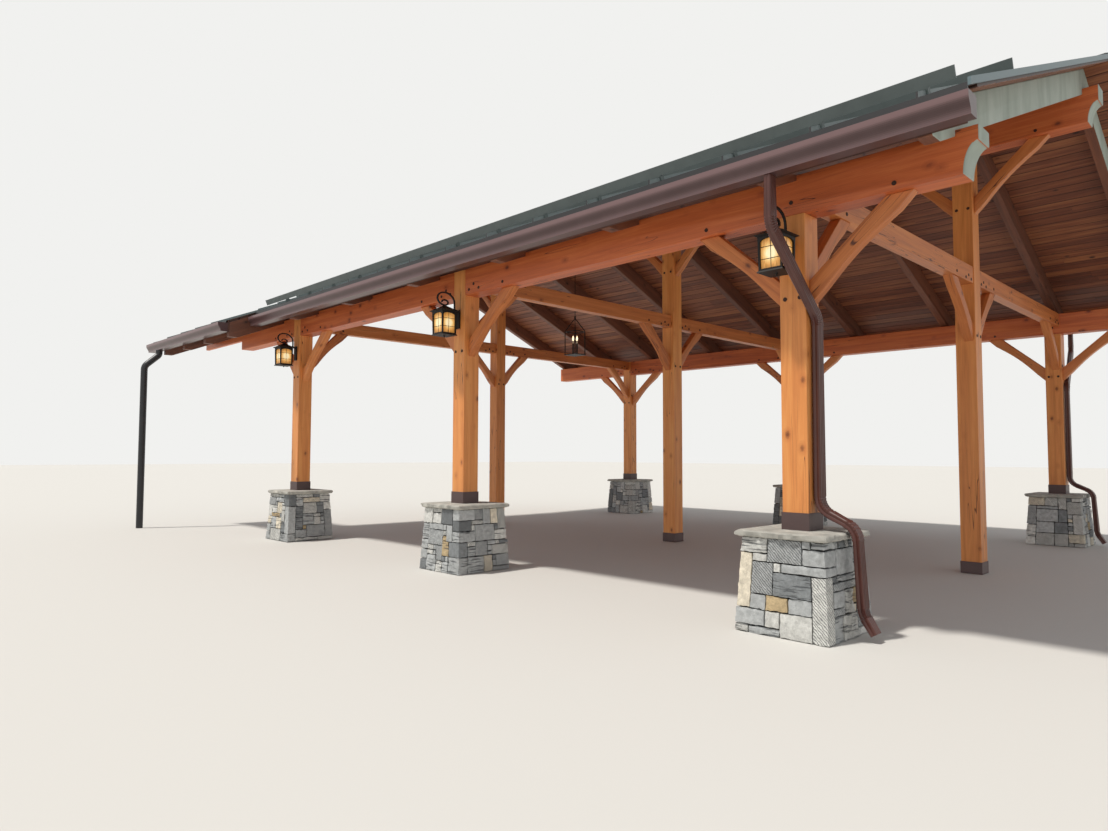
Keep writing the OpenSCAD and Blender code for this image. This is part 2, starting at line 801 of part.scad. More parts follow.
module pendant_lantern() {
    corner = (pendant_w - cage_bar) / 2;
    rod_low = pendant_h + crown_h + hub + link_gap;
    rod_h = ridge_z - pendant_z - rod_low;
    color(iron) in_place() translate([pendant_x, 0, pendant_z]) {
        translate([-pendant_w / 2 - tray_over, -pendant_w / 2 - tray_over, -tray_t])
            cube([pendant_w + 2 * tray_over, pendant_w + 2 * tray_over, tray_t]);
        for (x = [-corner, corner], y = [-corner, corner])
            translate([x - cage_bar / 2, y - cage_bar / 2, -joint]) cube([cage_bar, cage_bar, pendant_h]);
        translate([0, 0, pendant_h - cage_bar]) cage_ring(pendant_w);
        for (turn = [0 : 90 : 270]) rotate([0, 0, turn]) {
            translate([0, 0, pendant_h - joint]) crown_strap(pendant_w);
            translate([candle_out, 0, -joint]) cylinder(candle_h, candle_r, candle_r, $fn = 8);
        }
        translate([0, 0, pendant_h + crown_h - cage_bar]) cylinder(hub + cage_bar, hub / 2, hub / 2, $fn = 8);
        translate([0, 0, rod_low]) cylinder(rod_h - canopy_t, rod_r, rod_r, $fn = 8);
        translate([0, 0, rod_low + rod_h - canopy_t])
            cylinder(canopy_t, canopy_r, canopy_r, $fn = 12);
    }
}

pier(BENTS[NEAR], -half_span);  // pier_front_near
pier(BENTS[MID], -half_span);  // pier_front_mid
pier(BENTS[FAR], -half_span);  // pier_front_far
pier(BENTS[NEAR], half_span);  // pier_rear_near
pier(BENTS[MID], half_span);  // pier_rear_mid
pier(BENTS[FAR], half_span);  // pier_rear_far
pier_caps(-half_span);  // pier_caps_front
pier_caps(half_span);  // pier_caps_rear
post_shoes();
post(BENTS[NEAR], -half_span, pier_h, plate_top);  // post_front_near
post(BENTS[MID], -half_span, pier_h, plate_top);  // post_front_mid
post(BENTS[FAR], -half_span, pier_h, plate_top);  // post_front_far
post(BENTS[NEAR], 0, 0, ridge_z);  // post_centre_near
post(BENTS[MID], 0, 0, ridge_z);  // post_centre_mid
post(BENTS[FAR], 0, 0, ridge_z);  // post_centre_far
post(BENTS[NEAR], half_span, pier_h, plate_top);  // post_rear_near
post(BENTS[MID], half_span, pier_h, plate_top);  // post_rear_mid
post(BENTS[FAR], half_span, pier_h, plate_top);  // post_rear_far
front_plate();
rear_plate();
ridge_beam();
tie_beam(BENTS[NEAR]);  // tie_beam_near
tie_beam(BENTS[MID]);  // tie_beam_mid
tie_beam(BENTS[FAR]);  // tie_beam_far
braces_outer(BENTS[NEAR], -half_span);  // braces_front_near
braces_outer(BENTS[MID], -half_span);  // braces_front_mid
braces_outer(BENTS[FAR], -half_span);  // braces_front_far
braces_centre(BENTS[NEAR]);  // braces_centre_near
braces_centre(BENTS[MID]);  // braces_centre_mid
braces_centre(BENTS[FAR]);  // braces_centre_far
braces_outer(BENTS[NEAR], half_span);  // braces_rear_near
braces_outer(BENTS[MID], half_span);  // braces_rear_mid
braces_outer(BENTS[FAR], half_span);  // braces_rear_far
rafters_front();
rafters_rear();
ceiling_front();
ceiling_rear();
roof_sheet_front();
roof_sheet_rear();
ridge_cap();
fascia_front();
fascia_rear();
rake_trim();
snow_guards_front();
snow_guards_rear();
gutter_front();
gutter_step();
gutter_rear();
downspout(-1);  // downspout_near
downspout_far();
downspout(1);  // downspout_rear
wall_lantern(BENTS[NEAR]);  // wall_lantern_near
wall_lantern(BENTS[MID]);  // wall_lantern_mid
wall_lantern(BENTS[FAR]);  // wall_lantern_far
lantern_glass();
pendant_lantern();
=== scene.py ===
# %% [markdown]
# # A timber-framed porch canopy
#
# The canopy is an open roof on nine square posts. The outer posts stand on stone piers, and
# beams, ties and curved knee braces join them. Its real sizes were settled in the solid model,
# so this script never moves or reshapes those solids. It dresses them: it eases the edges of the
# timber, lays the stones and the ceiling boards, bends the rainwater pipes and paints it all.

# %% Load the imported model
import math
import random

import bmesh
import bpy
from mathutils import Matrix, Vector, noise


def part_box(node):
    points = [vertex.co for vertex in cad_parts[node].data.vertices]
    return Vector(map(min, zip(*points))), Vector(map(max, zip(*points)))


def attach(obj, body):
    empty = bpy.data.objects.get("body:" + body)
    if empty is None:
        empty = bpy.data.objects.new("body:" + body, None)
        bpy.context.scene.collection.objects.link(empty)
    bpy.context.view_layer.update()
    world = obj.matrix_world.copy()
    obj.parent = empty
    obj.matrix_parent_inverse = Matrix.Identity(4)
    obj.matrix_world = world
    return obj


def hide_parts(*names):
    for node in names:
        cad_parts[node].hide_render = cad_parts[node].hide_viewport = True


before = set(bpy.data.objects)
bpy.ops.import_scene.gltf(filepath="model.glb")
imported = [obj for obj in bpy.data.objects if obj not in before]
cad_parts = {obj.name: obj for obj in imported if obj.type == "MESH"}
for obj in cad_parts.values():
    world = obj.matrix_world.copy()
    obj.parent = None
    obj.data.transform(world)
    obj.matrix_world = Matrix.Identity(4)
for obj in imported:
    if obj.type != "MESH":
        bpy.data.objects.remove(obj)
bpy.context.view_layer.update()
# Without a seed of its own, this noise starts from the clock and differs in every run
NOISE_SEED = 7
noise.seed_set(NOISE_SEED)

# %% [markdown]
# Colours are easiest to choose as the hex codes of a paint chart, but Blender mixes light in
# linear numbers. One function does that change for every colour below.

# %% Turn a hex colour into linear light
def linear(hex_code):
    channels = [int(hex_code[i:i + 2], 16) / 255 for i in (1, 3, 5)]
    bent = [c / 12.92 if c <= 0.04045 else ((c + 0.055) / 1.055) ** 2.4 for c in channels]
    return (*bent, 1.0)


# %% [markdown]
# Materials, Geometry Nodes and the light all round are trees of nodes. The method add puts one
# node in a tree, sets it up and links it. An input is named by its label, or by its number where
# two share a label. The same few steps come up in many trees, such as a noise, a fade between
# two values or a mix of two colours, so each has a short method too. A material then reads as a
# list of what is done to it.

# %% Name the steps that many trees use
class Steps:
    """A tree of nodes."""

    def __init__(self, tree):
        self.tree = tree

    def add(self, kind, inputs=None, **settings):
        """Returns the first output of the new node that is in use."""
        made = self.tree.nodes.new(kind)
        for key, value in settings.items():
            setattr(made, key, value)
        for key, value in (inputs or {}).items():
            by_label = (s for s in made.inputs if s.name == key and s.enabled)
            socket = made.inputs[key] if isinstance(key, int) else next(by_label)
            if isinstance(value, bpy.types.NodeSocket):
                self.tree.links.new(value, socket)
            else:
                socket.default_value = value
        return next((s for s in made.outputs if s.enabled), None)

    def place(self):
        return self.add("ShaderNodeTexCoord").node.outputs["Object"]

    def read(self, attribute, output="Fac"):
        return self.add("ShaderNodeAttribute", attribute_name=attribute).node.outputs[output]

    def math(self, operation, *values):
        return self.add("ShaderNodeMath", dict(enumerate(values)), operation=operation)

    def noise(self, place, scale, detail, roughness=0.5, distortion=0.0):
        """Scale counts the waves in a metre: one number, or one for each direction."""
        if isinstance(scale, tuple):
            place = self.add("ShaderNodeVectorMath", {0: place, 1: scale}, operation="MULTIPLY")
            scale = 1.0
        return self.add("ShaderNodeTexNoise", {"Vector": place, "Scale": scale, "Detail": detail,
            "Roughness": roughness, "Distortion": distortion})

    def cells(self, place, scale):
        """The distance from the middle of scattered cells."""
        place = self.add("ShaderNodeVectorMath", {0: place, 1: scale}, operation="MULTIPLY")
        return self.add("ShaderNodeTexVoronoi", {"Vector": place, "Scale": 1.0})

    def fade(self, value, start, stop, low=0.0, high=1.0):
        """Goes from low to high while the value goes from start to stop."""
        return self.add("ShaderNodeMapRange", {"Value": value, "From Min": start, "From Max": stop,
            "To Min": low, "To Max": high})

    def mix(self, amount, first, second):
        first = linear(first) if isinstance(first, str) else first
        return self.add("ShaderNodeMix", {"Factor": amount, "A": first, "B": linear(second)},
            data_type="RGBA")

    def ramp(self, value, *stops):
        colour = self.add("ShaderNodeValToRGB", {"Fac": value})
        band = colour.node.color_ramp
        while len(band.elements) < len(stops):
            band.elements.new(0.5)
        for element, (spot, tone) in zip(band.elements, stops):
            element.position = spot
            element.color = linear(tone)
        return colour

    def bump(self, height, strength, distance):
        return self.add("ShaderNodeBump", {"Height": height, "Strength": strength,
            "Distance": distance})


# %% Start and finish a material
class Recipe(Steps):
    """The tree of one material."""

    def __init__(self, name):
        self.material = bpy.data.materials.new(name)
        self.material.use_nodes = True
        self.material.node_tree.nodes.clear()
        super().__init__(self.material.node_tree)

    def finish(self, colour, roughness, normal=None, more=None):
        inputs = {"Base Color": colour, "Roughness": roughness, **(more or {})}
        if normal is not None:
            inputs["Normal"] = normal
        shader = self.add("ShaderNodeBsdfPrincipled", inputs)
        self.add("ShaderNodeOutputMaterial", {"Surface": shader})
        return self.material


def speckled(name, scale, detail, stops, roughness):
    """The plainest material: one fine noise that runs between two shades."""
    steps = Recipe(name)
    grit = steps.noise(steps.place(), scale, detail)
    return steps.finish(steps.ramp(grit, *stops), roughness)


# %% [markdown]
# ## Stained fir
#
# The frame is Douglas fir, sawn, planed and stained, with a low gloss. Fir shows long straight
# grain, a few knots, and narrow drying checks that run with the grain. All of them follow the
# timber, whichever way it points, so each timber will carry an attribute named grain: metres
# along it, then across it both ways. Stretching a noise along the first number gives the grain.

# %% Stained timber
def timber_material(name, light, middle, dark, knot_tone, roughness):
    steps = Recipe(name)
    grain = steps.read("grain", "Vector")
    bands = steps.noise(grain, (0.9, 16, 16), 5.0, 0.6, 0.5)
    lines = steps.noise(grain, (5, 190, 190), 3.0)
    # Fine lines shift the shade a little, and the tone of the whole timber shifts it once more
    shade = steps.math("ADD", bands, steps.math("MULTIPLY_ADD", lines, 0.30, -0.15))
    shade = steps.math("ADD", shade, steps.math("MULTIPLY_ADD", steps.read("tone"), 0.24, -0.12))
    colour = steps.ramp(shade, (0.18, dark), (0.50, middle), (0.86, light))
    # A knot is 15 to 40 mm wide and a little longer, with one or two in every metre
    wobble = steps.noise(grain, 60.0, 1.0)
    knots = steps.math("MULTIPLY_ADD", wobble, 0.06, steps.cells(grain, (3.6, 5.4, 5.4)))
    colour = steps.mix(steps.fade(knots, 0.28, 0.12, high=0.7), colour, dark)
    colour = steps.mix(steps.fade(knots, 0.16, 0.07, high=0.85), colour, knot_tone)
    # A check is a crack 1 to 2 mm wide and up to a metre long
    check = steps.noise(grain, (0.8, 17, 17), 1.0)
    check = steps.math("ABSOLUTE", steps.math("SUBTRACT", check, 0.5))
    where = steps.noise(grain, (0.9, 4, 4), 0.0)
    check = steps.math("MULTIPLY", steps.fade(check, 0.007, 0.002), steps.fade(where, 0.54, 0.58))
    # The dark colour of a check is painted shade inside the crack
    colour = steps.mix(check, colour, knot_tone)
    depth = steps.math("MULTIPLY_ADD", check, -3.0, lines)
    gloss = steps.fade(bands, 0, 1, roughness - 0.08, roughness + 0.10)
    return steps.finish(colour, gloss, steps.bump(depth, 0.35, 0.0015))


# The frame has one stain, and these four are lit and shaded copies of it: painted sunlight on the posts,
# painted half shade on the braces and ties, painted shade on the plates and ridge under the eaves, and
# painted deep shade on the rafters
painted_sunlight_fir = timber_material("orange_stained_fir", "#F2B26A", "#E29350", "#C4753C", "#6E381B", 0.44)
painted_half_shade_fir = timber_material("amber_stained_fir", "#DC9256", "#C6763E", "#A55A2D", "#5A2C16", 0.46)
painted_shade_fir = timber_material("red_stained_fir", "#DA7E45", "#C0602F", "#9B4823", "#522414", 0.48)
painted_deep_shade_fir = timber_material("brown_stained_fir", "#8A563C", "#6C412F", "#503023", "#2A140D", 0.52)
dark_fir = timber_material("dark_stained_fir", "#5E3A2A", "#46291E", "#311B14", "#1C0F0B", 0.55)
print("timber stains:", painted_sunlight_fir.name, painted_half_shade_fir.name, painted_shade_fir.name, painted_deep_shade_fir.name, dark_fir.name)

# %% [markdown]
# The faces at the gable end stand in the open and take all the rain, and they look out to the
# bright sky and trees. Their pale grey green is partly weathered fir and partly painted reflection
# of that sky, with darker runs where water trickles down. The runs follow gravity and not the
# grain, so this pattern reads the place and not the attribute.

# %% Weathered fir with painted sky reflection
def weathered_painted_sky_material():
    steps = Recipe("weathered_fir")
    # A run is 100 to 200 mm wide and half a metre long
    runs = steps.noise(steps.place(), (5, 5, 1.8), 3.0, 0.5, 0.4)
    lines = steps.noise(steps.read("grain", "Vector"), (5, 150, 150), 3.0)
    shade = steps.math("MULTIPLY_ADD", lines, 0.06, runs)
    # The pale grey green ramp is painted reflection of the sky, laid on weathered fir
    colour = steps.ramp(shade, (0.28, "#8C968C"), (0.56, "#A1ABA1"), (0.84, "#B2BBB2"))
    return steps.finish(colour, 0.72, steps.bump(lines, 0.4, 0.001))


weathered_fir = weathered_painted_sky_material()

# %% [markdown]
# A real timber has its sharp corners planed off, and that thin bright line is much of what makes
# a beam look solid. The solids arrive as loose triangles, so each is copied, its doubled points
# are merged and its flat faces are joined up before the edges are eased. The longest edge of each
# timber tells which way its grain runs.

# %% Split a mesh into its separate solids
def islands(shape):
    shape.verts.index_update()
    shape.verts.ensure_lookup_table()
    unseen = set(range(len(shape.verts)))
    while unseen:
        stack = [unseen.pop()]
        found = []
        while stack:
            vert = shape.verts[stack.pop()]
            found.append(vert)
            for edge in vert.link_edges:
                other = edge.other_vert(vert).index
                if other in unseen:
                    unseen.remove(other)
                    stack.append(other)
        yield found


def limits(verts):
    """The lowest and the highest corner of the box round some points."""
    return [Vector([pick(v.co[i] for v in verts) for i in range(3)]) for pick in (min, max)]


# %% Write the grain and the tone of each timber into its mesh
LENGTHWISE = Vector((1, 0, 0))
CROSSWISE = Vector((0, 1, 0))
UP = Vector((0, 0, 1))
# A timber stands upright if its direction strays less than this from plumb
PLUMB = 0.01
GRAIN_SHIFT = 60


def mark_grain(shape, chance):
    grain = shape.verts.layers.float_vector.new("grain")
    tone = shape.verts.layers.float.new("tone")
    shape.edges.index_update()
    for verts in islands(shape):
        edges = {edge for vert in verts for edge in vert.link_edges}
        # Among edges of equal length the first one counts, in every run
        longest = max(edges, key=lambda edge: (round(edge.calc_length(), 4), -edge.index))
        along = (longest.verts[1].co - longest.verts[0].co).normalized()
        level = UP.cross(along)
        across = level.normalized() if level.length > PLUMB else LENGTHWISE
        upward = along.cross(across)
        shift = Vector([chance.uniform(0, GRAIN_SHIFT) for _ in range(3)])
        value = chance.random()
        for vert in verts:
            spot = Vector((vert.co.dot(along), vert.co.dot(across), vert.co.dot(upward)))
            vert[grain] = spot + shift
            vert[tone] = value


# %% Turn a bmesh into a finished piece
SECOND_MATERIAL = 1


def plain_mesh(shape, name):
    mesh = bpy.data.meshes.new(name)
    shape.to_mesh(mesh)
    shape.free()
    return mesh


def make_piece(shape, name, materials, replaced=(), smooth_angle=30):
    mesh = plain_mesh(shape, name)
    for material in materials:
        mesh.materials.append(material)
    mesh.polygons.foreach_set("use_smooth", [smooth_angle > 0] * len(mesh.polygons))
    if smooth_angle:
        mesh.set_sharp_from_angle(angle=math.radians(smooth_angle))
    piece = bpy.data.objects.new(name, mesh)
    bpy.context.scene.collection.objects.link(piece)
    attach(piece, "root")
    if replaced:
        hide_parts(*replaced)
    return piece


# %% Copy a solid with its doubles merged
SAME_POINT = 1e-5


def merge_flat(shape):
    """Joins up faces that lie in one plane, to within one degree."""
    bmesh.ops.dissolve_limit(shape, angle_limit=math.radians(1), verts=shape.verts, edges=shape.edges)


def merged_copy(node_name):
    shape = bmesh.new()
    shape.from_mesh(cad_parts[node_name].data)
    bmesh.ops.remove_doubles(shape, verts=shape.verts, dist=SAME_POINT)
    merge_flat(shape)
    return shape


# %% [markdown]
# At the near bent the plates run over the heads of the posts, and at the other bents they are
# tenoned into the posts' sides. The solids have the second joint everywhere. Both have the same
# outer faces, so the near one is changed here: the two lengths of plate are welded into one, and
# the post stops under it.

# %% Run the plate over the head of the near post
PLATE_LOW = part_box("rear_plate")[0].z
PLATE_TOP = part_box("rear_plate")[1].z
# Two places closer than this count as one, in metres
NEARLY = 0.001
WELD_GAP = 1e-4


def run_over(shape, post_low, post_high):
    for vert in shape.verts:
        if abs(vert.co.x - post_low.x) < NEARLY:
            vert.co.x = post_high.x
    bmesh.ops.remove_doubles(shape, verts=shape.verts, dist=WELD_GAP)
    inner = [face for face in shape.faces
        if all(abs(vert.co.x - post_high.x) < NEARLY for vert in face.verts)]
    bmesh.ops.delete(shape, geom=inner, context="FACES_ONLY")
    merge_flat(shape)
    print("end faces welded away:", len(inner))


def cut_under(shape):
    for vert in shape.verts:
        vert.co.z = min(vert.co.z, PLATE_LOW)


# %% Dress every timber of the frame
ARRIS = 0.006
# An edge is eased where its faces turn by more than this, in radians
SHARP_EDGE = 0.35
# A face gets the weathered fir with its painted sky reflection if it looks toward the gable end
# and lies this near to it
TOWARD_GABLE = 0.25
GABLE_DEPTH = 0.30
chance = random.Random(11)
# Each group of timbers gets its copy of the stain, with the painted sunlight and shade given above
STAINS_AND_PAINTED_LIGHT = [("post_front", painted_sunlight_fir), ("post_centre", painted_sunlight_fir), ("post_rear", painted_sunlight_fir),
    ("tie_beam", painted_half_shade_fir), ("braces", painted_half_shade_fir), ("front_plate", painted_shade_fir), ("rear_plate", painted_shade_fir),
    ("ridge_beam", painted_shade_fir), ("rafters", painted_deep_shade_fir)]
PALE_AT_THE_GABLE_END = ("front_plate", "rear_plate", "ridge_beam", "rafters")
dressed = 0
for prefix, stain in STAINS_AND_PAINTED_LIGHT:
    for name in sorted(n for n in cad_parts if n.startswith(prefix)):
        shape = merged_copy(name)
        if name in ("front_plate", "rear_plate"):
            run_over(shape, *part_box("post_front_near"))
        if name in ("post_front_near", "post_rear_near"):
            cut_under(shape)
        sharp = [edge for edge in shape.edges
            if edge.is_manifold and edge.calc_face_angle() > SHARP_EDGE]
        bmesh.ops.bevel(shape, geom=sharp, offset=ARRIS, segments=2, profile=0.5, affect="EDGES")
        mark_grain(shape, chance)
        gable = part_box(name)[1].x - GABLE_DEPTH
        if prefix in PALE_AT_THE_GABLE_END:
            for face in shape.faces:
                if face.normal.x > TOWARD_GABLE and face.calc_center_median().x > gable:
                    face.material_index = SECOND_MATERIAL
        make_piece(shape, "fir_" + name, [stain, weathered_fir], [name], smooth_angle=25)
        dressed += 1
print("timber pieces:", dressed)

# %% Dress the fascia boards the same way
for name in ("fascia_front", "fascia_rear"):
    shape = merged_copy(name)
    mark_grain(shape, chance)
    make_piece(shape, "board_" + name, [dark_fir], [name], smooth_angle=25)

# %% [markdown]
# ## Pegs
#
# Every mortise and tenon is locked by hardwood pegs of 33 mm. A peg shows as a small dark disc
# on both faces of the timber. The places follow a rule, so they are worked out here as points,
# each with the direction it faces, and Geometry Nodes puts a peg at every point.

# %% Measure the frame and set out the joints
HALF_POST = 0.105
bents = {}
for end in ("near", "mid", "far"):
    low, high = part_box("post_centre_" + end)
    bents[end] = (low.x + high.x) / 2
rows = {}
for row in ("front", "centre", "rear"):
    low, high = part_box("post_" + row + "_mid")
    rows[row] = (low.y + high.y) / 2
RIDGE_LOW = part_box("ridge_beam")[0].z
TIE_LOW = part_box("tie_beam_mid")[0].z
# The length of each kind of brace along the beam and down the post
BRACE = {"plate": (0.770, 0.700), "ridge": (0.740, 0.700), "tie": (0.650, 0.650)}
# Three pegs in the end of a beam: metres out from the post, and share of the beam's depth
JOINT_PEGS = [(0.073, 0.18), (0.156, 0.36), (0.247, 0.17)]
# One peg in the head of a brace and one in its foot
HEAD_IN = 0.110
HEAD_UP = 0.050
FOOT_IN = 0.045
FOOT_UP = 0.062
# One peg locks the tenon of a near post into the plate that runs over it
TENON_UP = 0.097
peg_points = []


def peg_pair(spot, along, half):
    """Pegs on both faces of a timber that runs along x or y and is twice half wide."""
    for side in (-1, 1):
        facing = Vector((abs(along.y), abs(along.x), 0)) * side
        peg_points.append((spot + facing * half, facing))


def beam_pegs(post, along, low, half):
    for out, share in JOINT_PEGS:
        spot = post + along * (HALF_POST + out)
        spot.z = low + share * (PLATE_TOP - low)
        peg_pair(spot, along, half)


def brace_pegs(beam, post, along, under, kind, half):
    leg, drop = BRACE[kind]
    head = beam + along * (HALF_POST + leg - HEAD_IN)
    head.z = under + HEAD_UP
    peg_pair(head, along, half)
    foot = post + along * (HALF_POST - FOOT_IN)
    foot.z = under - drop + FOOT_UP
    peg_pair(foot, along, HALF_POST)


# %% Work out where the pegs go
for end, x in bents.items():
    tie_low, tie_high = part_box("tie_beam_" + end)
    half_tie = (tie_high.x - tie_low.x) / 2
    for row, y in rows.items():
        post = Vector((x, y, 0))
        tie = Vector(((tie_low.x + tie_high.x) / 2, y, 0))
        for side in (-1, 1):
            if row == "centre":
                brace_pegs(post, post, LENGTHWISE * side, RIDGE_LOW, "ridge", HALF_POST)
            else:
                if end != "near":
                    beam_pegs(post, LENGTHWISE * side, PLATE_LOW, HALF_POST)
                brace_pegs(post, post, LENGTHWISE * side, PLATE_LOW, "plate", HALF_POST)
            if row == "centre" or (row == "front") == (side > 0):
                beam_pegs(tie, CROSSWISE * side, TIE_LOW, half_tie)
                brace_pegs(tie, post, CROSSWISE * side, TIE_LOW, "tie", half_tie)
        if row != "centre" and end == "near":
            peg_pair(post + UP * (PLATE_LOW + TENON_UP), LENGTHWISE, HALF_POST)
print("pegs:", len(peg_points))

# %% [markdown]
# The pegs and the ceiling boards are both made by Geometry Nodes, and their trees end in the same
# way: one shape is put on every point, the copies are made real and get their material. Then the
# tree is run, and its result is kept as a plain mesh.

# %% Start and finish a Geometry Nodes tree
class Growth(Steps):
    """A tree of Geometry Nodes with its named inputs."""

    def __init__(self, name, kinds):
        group = bpy.data.node_groups.new(name, "GeometryNodeTree")
        group.is_modifier = True
        for label, kind in {"Geometry": "Geometry", **kinds, "Material": "Material"}.items():
            group.interface.new_socket(label, in_out="INPUT", socket_type="NodeSocket" + kind)
        group.interface.new_socket("Geometry", in_out="OUTPUT", socket_type="NodeSocketGeometry")
        super().__init__(group)
        self.entry = group.nodes.new("NodeGroupInput").outputs

    def fill(self, points, instance, more):
        put = self.add("GeometryNodeInstanceOnPoints", {"Points": points, "Instance": instance, **more})
        real = self.add("GeometryNodeRealizeInstances", {"Geometry": put})
        painted = self.add("GeometryNodeSetMaterial", {"Geometry": real,
            "Material": self.entry["Material"]})
        self.add("NodeGroupOutput", {"Geometry": painted})
        return self.tree


# %% Grow geometry from a tree and keep it as a plain mesh
def grow(name, base_mesh, tree, values, replaced=(), place=None, smooth_angle=0):
    maker = bpy.data.objects.new(name + "_maker", base_mesh)
    bpy.context.scene.collection.objects.link(maker)
    modifier = maker.modifiers.new("grow", "NODES")
    modifier.node_group = tree
    for item in tree.interface.items_tree:
        if item.in_out == "INPUT" and item.name in values:
            modifier[item.identifier] = values[item.name]
    ready = maker.evaluated_get(bpy.context.evaluated_depsgraph_get())
    mesh = bpy.data.meshes.new_from_object(ready)
    materials = list(mesh.materials)
    maker.modifiers.remove(modifier)
    bpy.data.objects.remove(maker)
    if place:
        mesh.transform(place)
    shape = bmesh.new()
    shape.from_mesh(mesh)
    bmesh.ops.recalc_face_normals(shape, faces=shape.faces)
    return make_piece(shape, name, materials, replaced, smooth_angle)


# %% Put a peg at every point
PEG_SIDES = 12
PEG_RADIUS = 0.0165
PEG_LENGTH = 0.008


def peg_tree():
    steps = Growth("pegs", {"Radius": "Float", "Length": "Float"})
    peg = steps.add("GeometryNodeMeshCylinder", {"Vertices": PEG_SIDES,
        "Radius": steps.entry["Radius"], "Depth": steps.entry["Length"]})
    facing = steps.add("GeometryNodeInputNamedAttribute", {"Name": "facing"}, data_type="FLOAT_VECTOR")
    turn = steps.add("FunctionNodeAlignRotationToVector", {"Vector": facing}, axis="Z")
    return steps.fill(steps.entry["Geometry"], peg, {"Rotation": turn})


oak_peg = speckled("oak_peg_end_grain", 260.0, 2.0, [(0.35, "#1E0F09"), (0.7, "#4A2A18")], 0.7)
peg_mesh = bpy.data.meshes.new("peg_points")
peg_mesh.from_pydata([tuple(spot) for spot, _ in peg_points], [], [])
layer = peg_mesh.attributes.new("facing", "FLOAT_VECTOR", "POINT")
layer.data.foreach_set("vector", [c for _, facing in peg_points for c in facing])
grow("oak_pegs", peg_mesh, peg_tree(), {"Radius": PEG_RADIUS, "Length": PEG_LENGTH, "Material": oak_peg},
    smooth_angle=30)

# %% [markdown]
# ## Ceiling boards
#
# The roof is lined with tongue and groove boards, about 140 mm wide, that run the length of the
# canopy with a V groove at each joint. The shade varies from row to row and a little from board
# to board, and the ends fall at random. One board of 1 m is drawn with its planed edges, and
# Geometry Nodes lays rows of copies, clips each row to the roof and gives every board its own
# shade.

# %% Ceiling board material
def ceiling_material():
    steps = Recipe("stained_ceiling_boards")
    # Each board reads the noises from a place of its own
    tone = steps.read("tone")
    jump = steps.math("MULTIPLY", tone, 90.0)
    jump = steps.add("ShaderNodeCombineXYZ", {"X": jump, "Y": jump})
    place = steps.add("ShaderNodeVectorMath", {0: steps.place(), 1: jump}, operation="ADD")
    bands = steps.noise(place, (1.2, 26, 26), 5.0, 0.62, 0.4)
    lines = steps.noise(place, (6, 210, 210), 2.0)
    shade = steps.math("ADD", bands, steps.math("MULTIPLY_ADD", tone, 0.34, -0.17))
    colour = steps.ramp(shade, (0.22, "#522A1B"), (0.48, "#784229"), (0.78, "#A26740"))
    knots = steps.fade(steps.cells(place, (2.2, 3.6, 3.6)), 0.10, 0.05)
    colour = steps.mix(knots, colour, "#2E140C")
    # The V groove is darker: stain and dust lie thick in it, and the rest is painted shade in the groove
    colour = steps.mix(steps.fade(steps.read("groove"), 0.0, 0.5, high=0.9), colour, "#22110B")
    return steps.finish(colour, 0.5, steps.bump(lines, 0.25, 0.001))


ceiling_boards = ceiling_material()

# %% Close a row of rings into one skin
def stitch(shape, rings):
    """The first and the last ring become the flat ends."""
    for low, high in zip(rings, rings[1:]):
        for i in range(len(low)):
            j = (i + 1) % len(low)
            shape.faces.new([low[i], low[j], high[j], high[i]])
    shape.faces.new(rings[0][::-1])
    shape.faces.new(rings[-1])


# %% Draw one board, 1 m long, lying on its back
BOARD_W = 0.140
BOARD_T = 0.021
GROOVE = 0.008
SIDE_GAP = 0.0004


def board_shape():
    half = BOARD_W / 2 - SIDE_GAP
    outline = [(-half, GROOVE), (-half + GROOVE, 0), (half - GROOVE, 0), (half, GROOVE),
        (half, BOARD_T), (-half, BOARD_T)]
    shape = bmesh.new()
    depth = shape.verts.layers.float.new("groove")
    ends = [[shape.verts.new((x, y, z)) for y, z in outline] for x in (-0.5, 0.5)]
    for vert in shape.verts:
        vert[depth] = float(abs(vert.co.y) > half - NEARLY)
    stitch(shape, ends)
    return bpy.data.objects.new("board_shape", plain_mesh(shape, "board_shape"))


one_board = board_shape()

# %% Build a tree that lays rows of boards
END_GAP = 0.0012
SHORTEST = 0.05
ROW_SHADE = 0.65


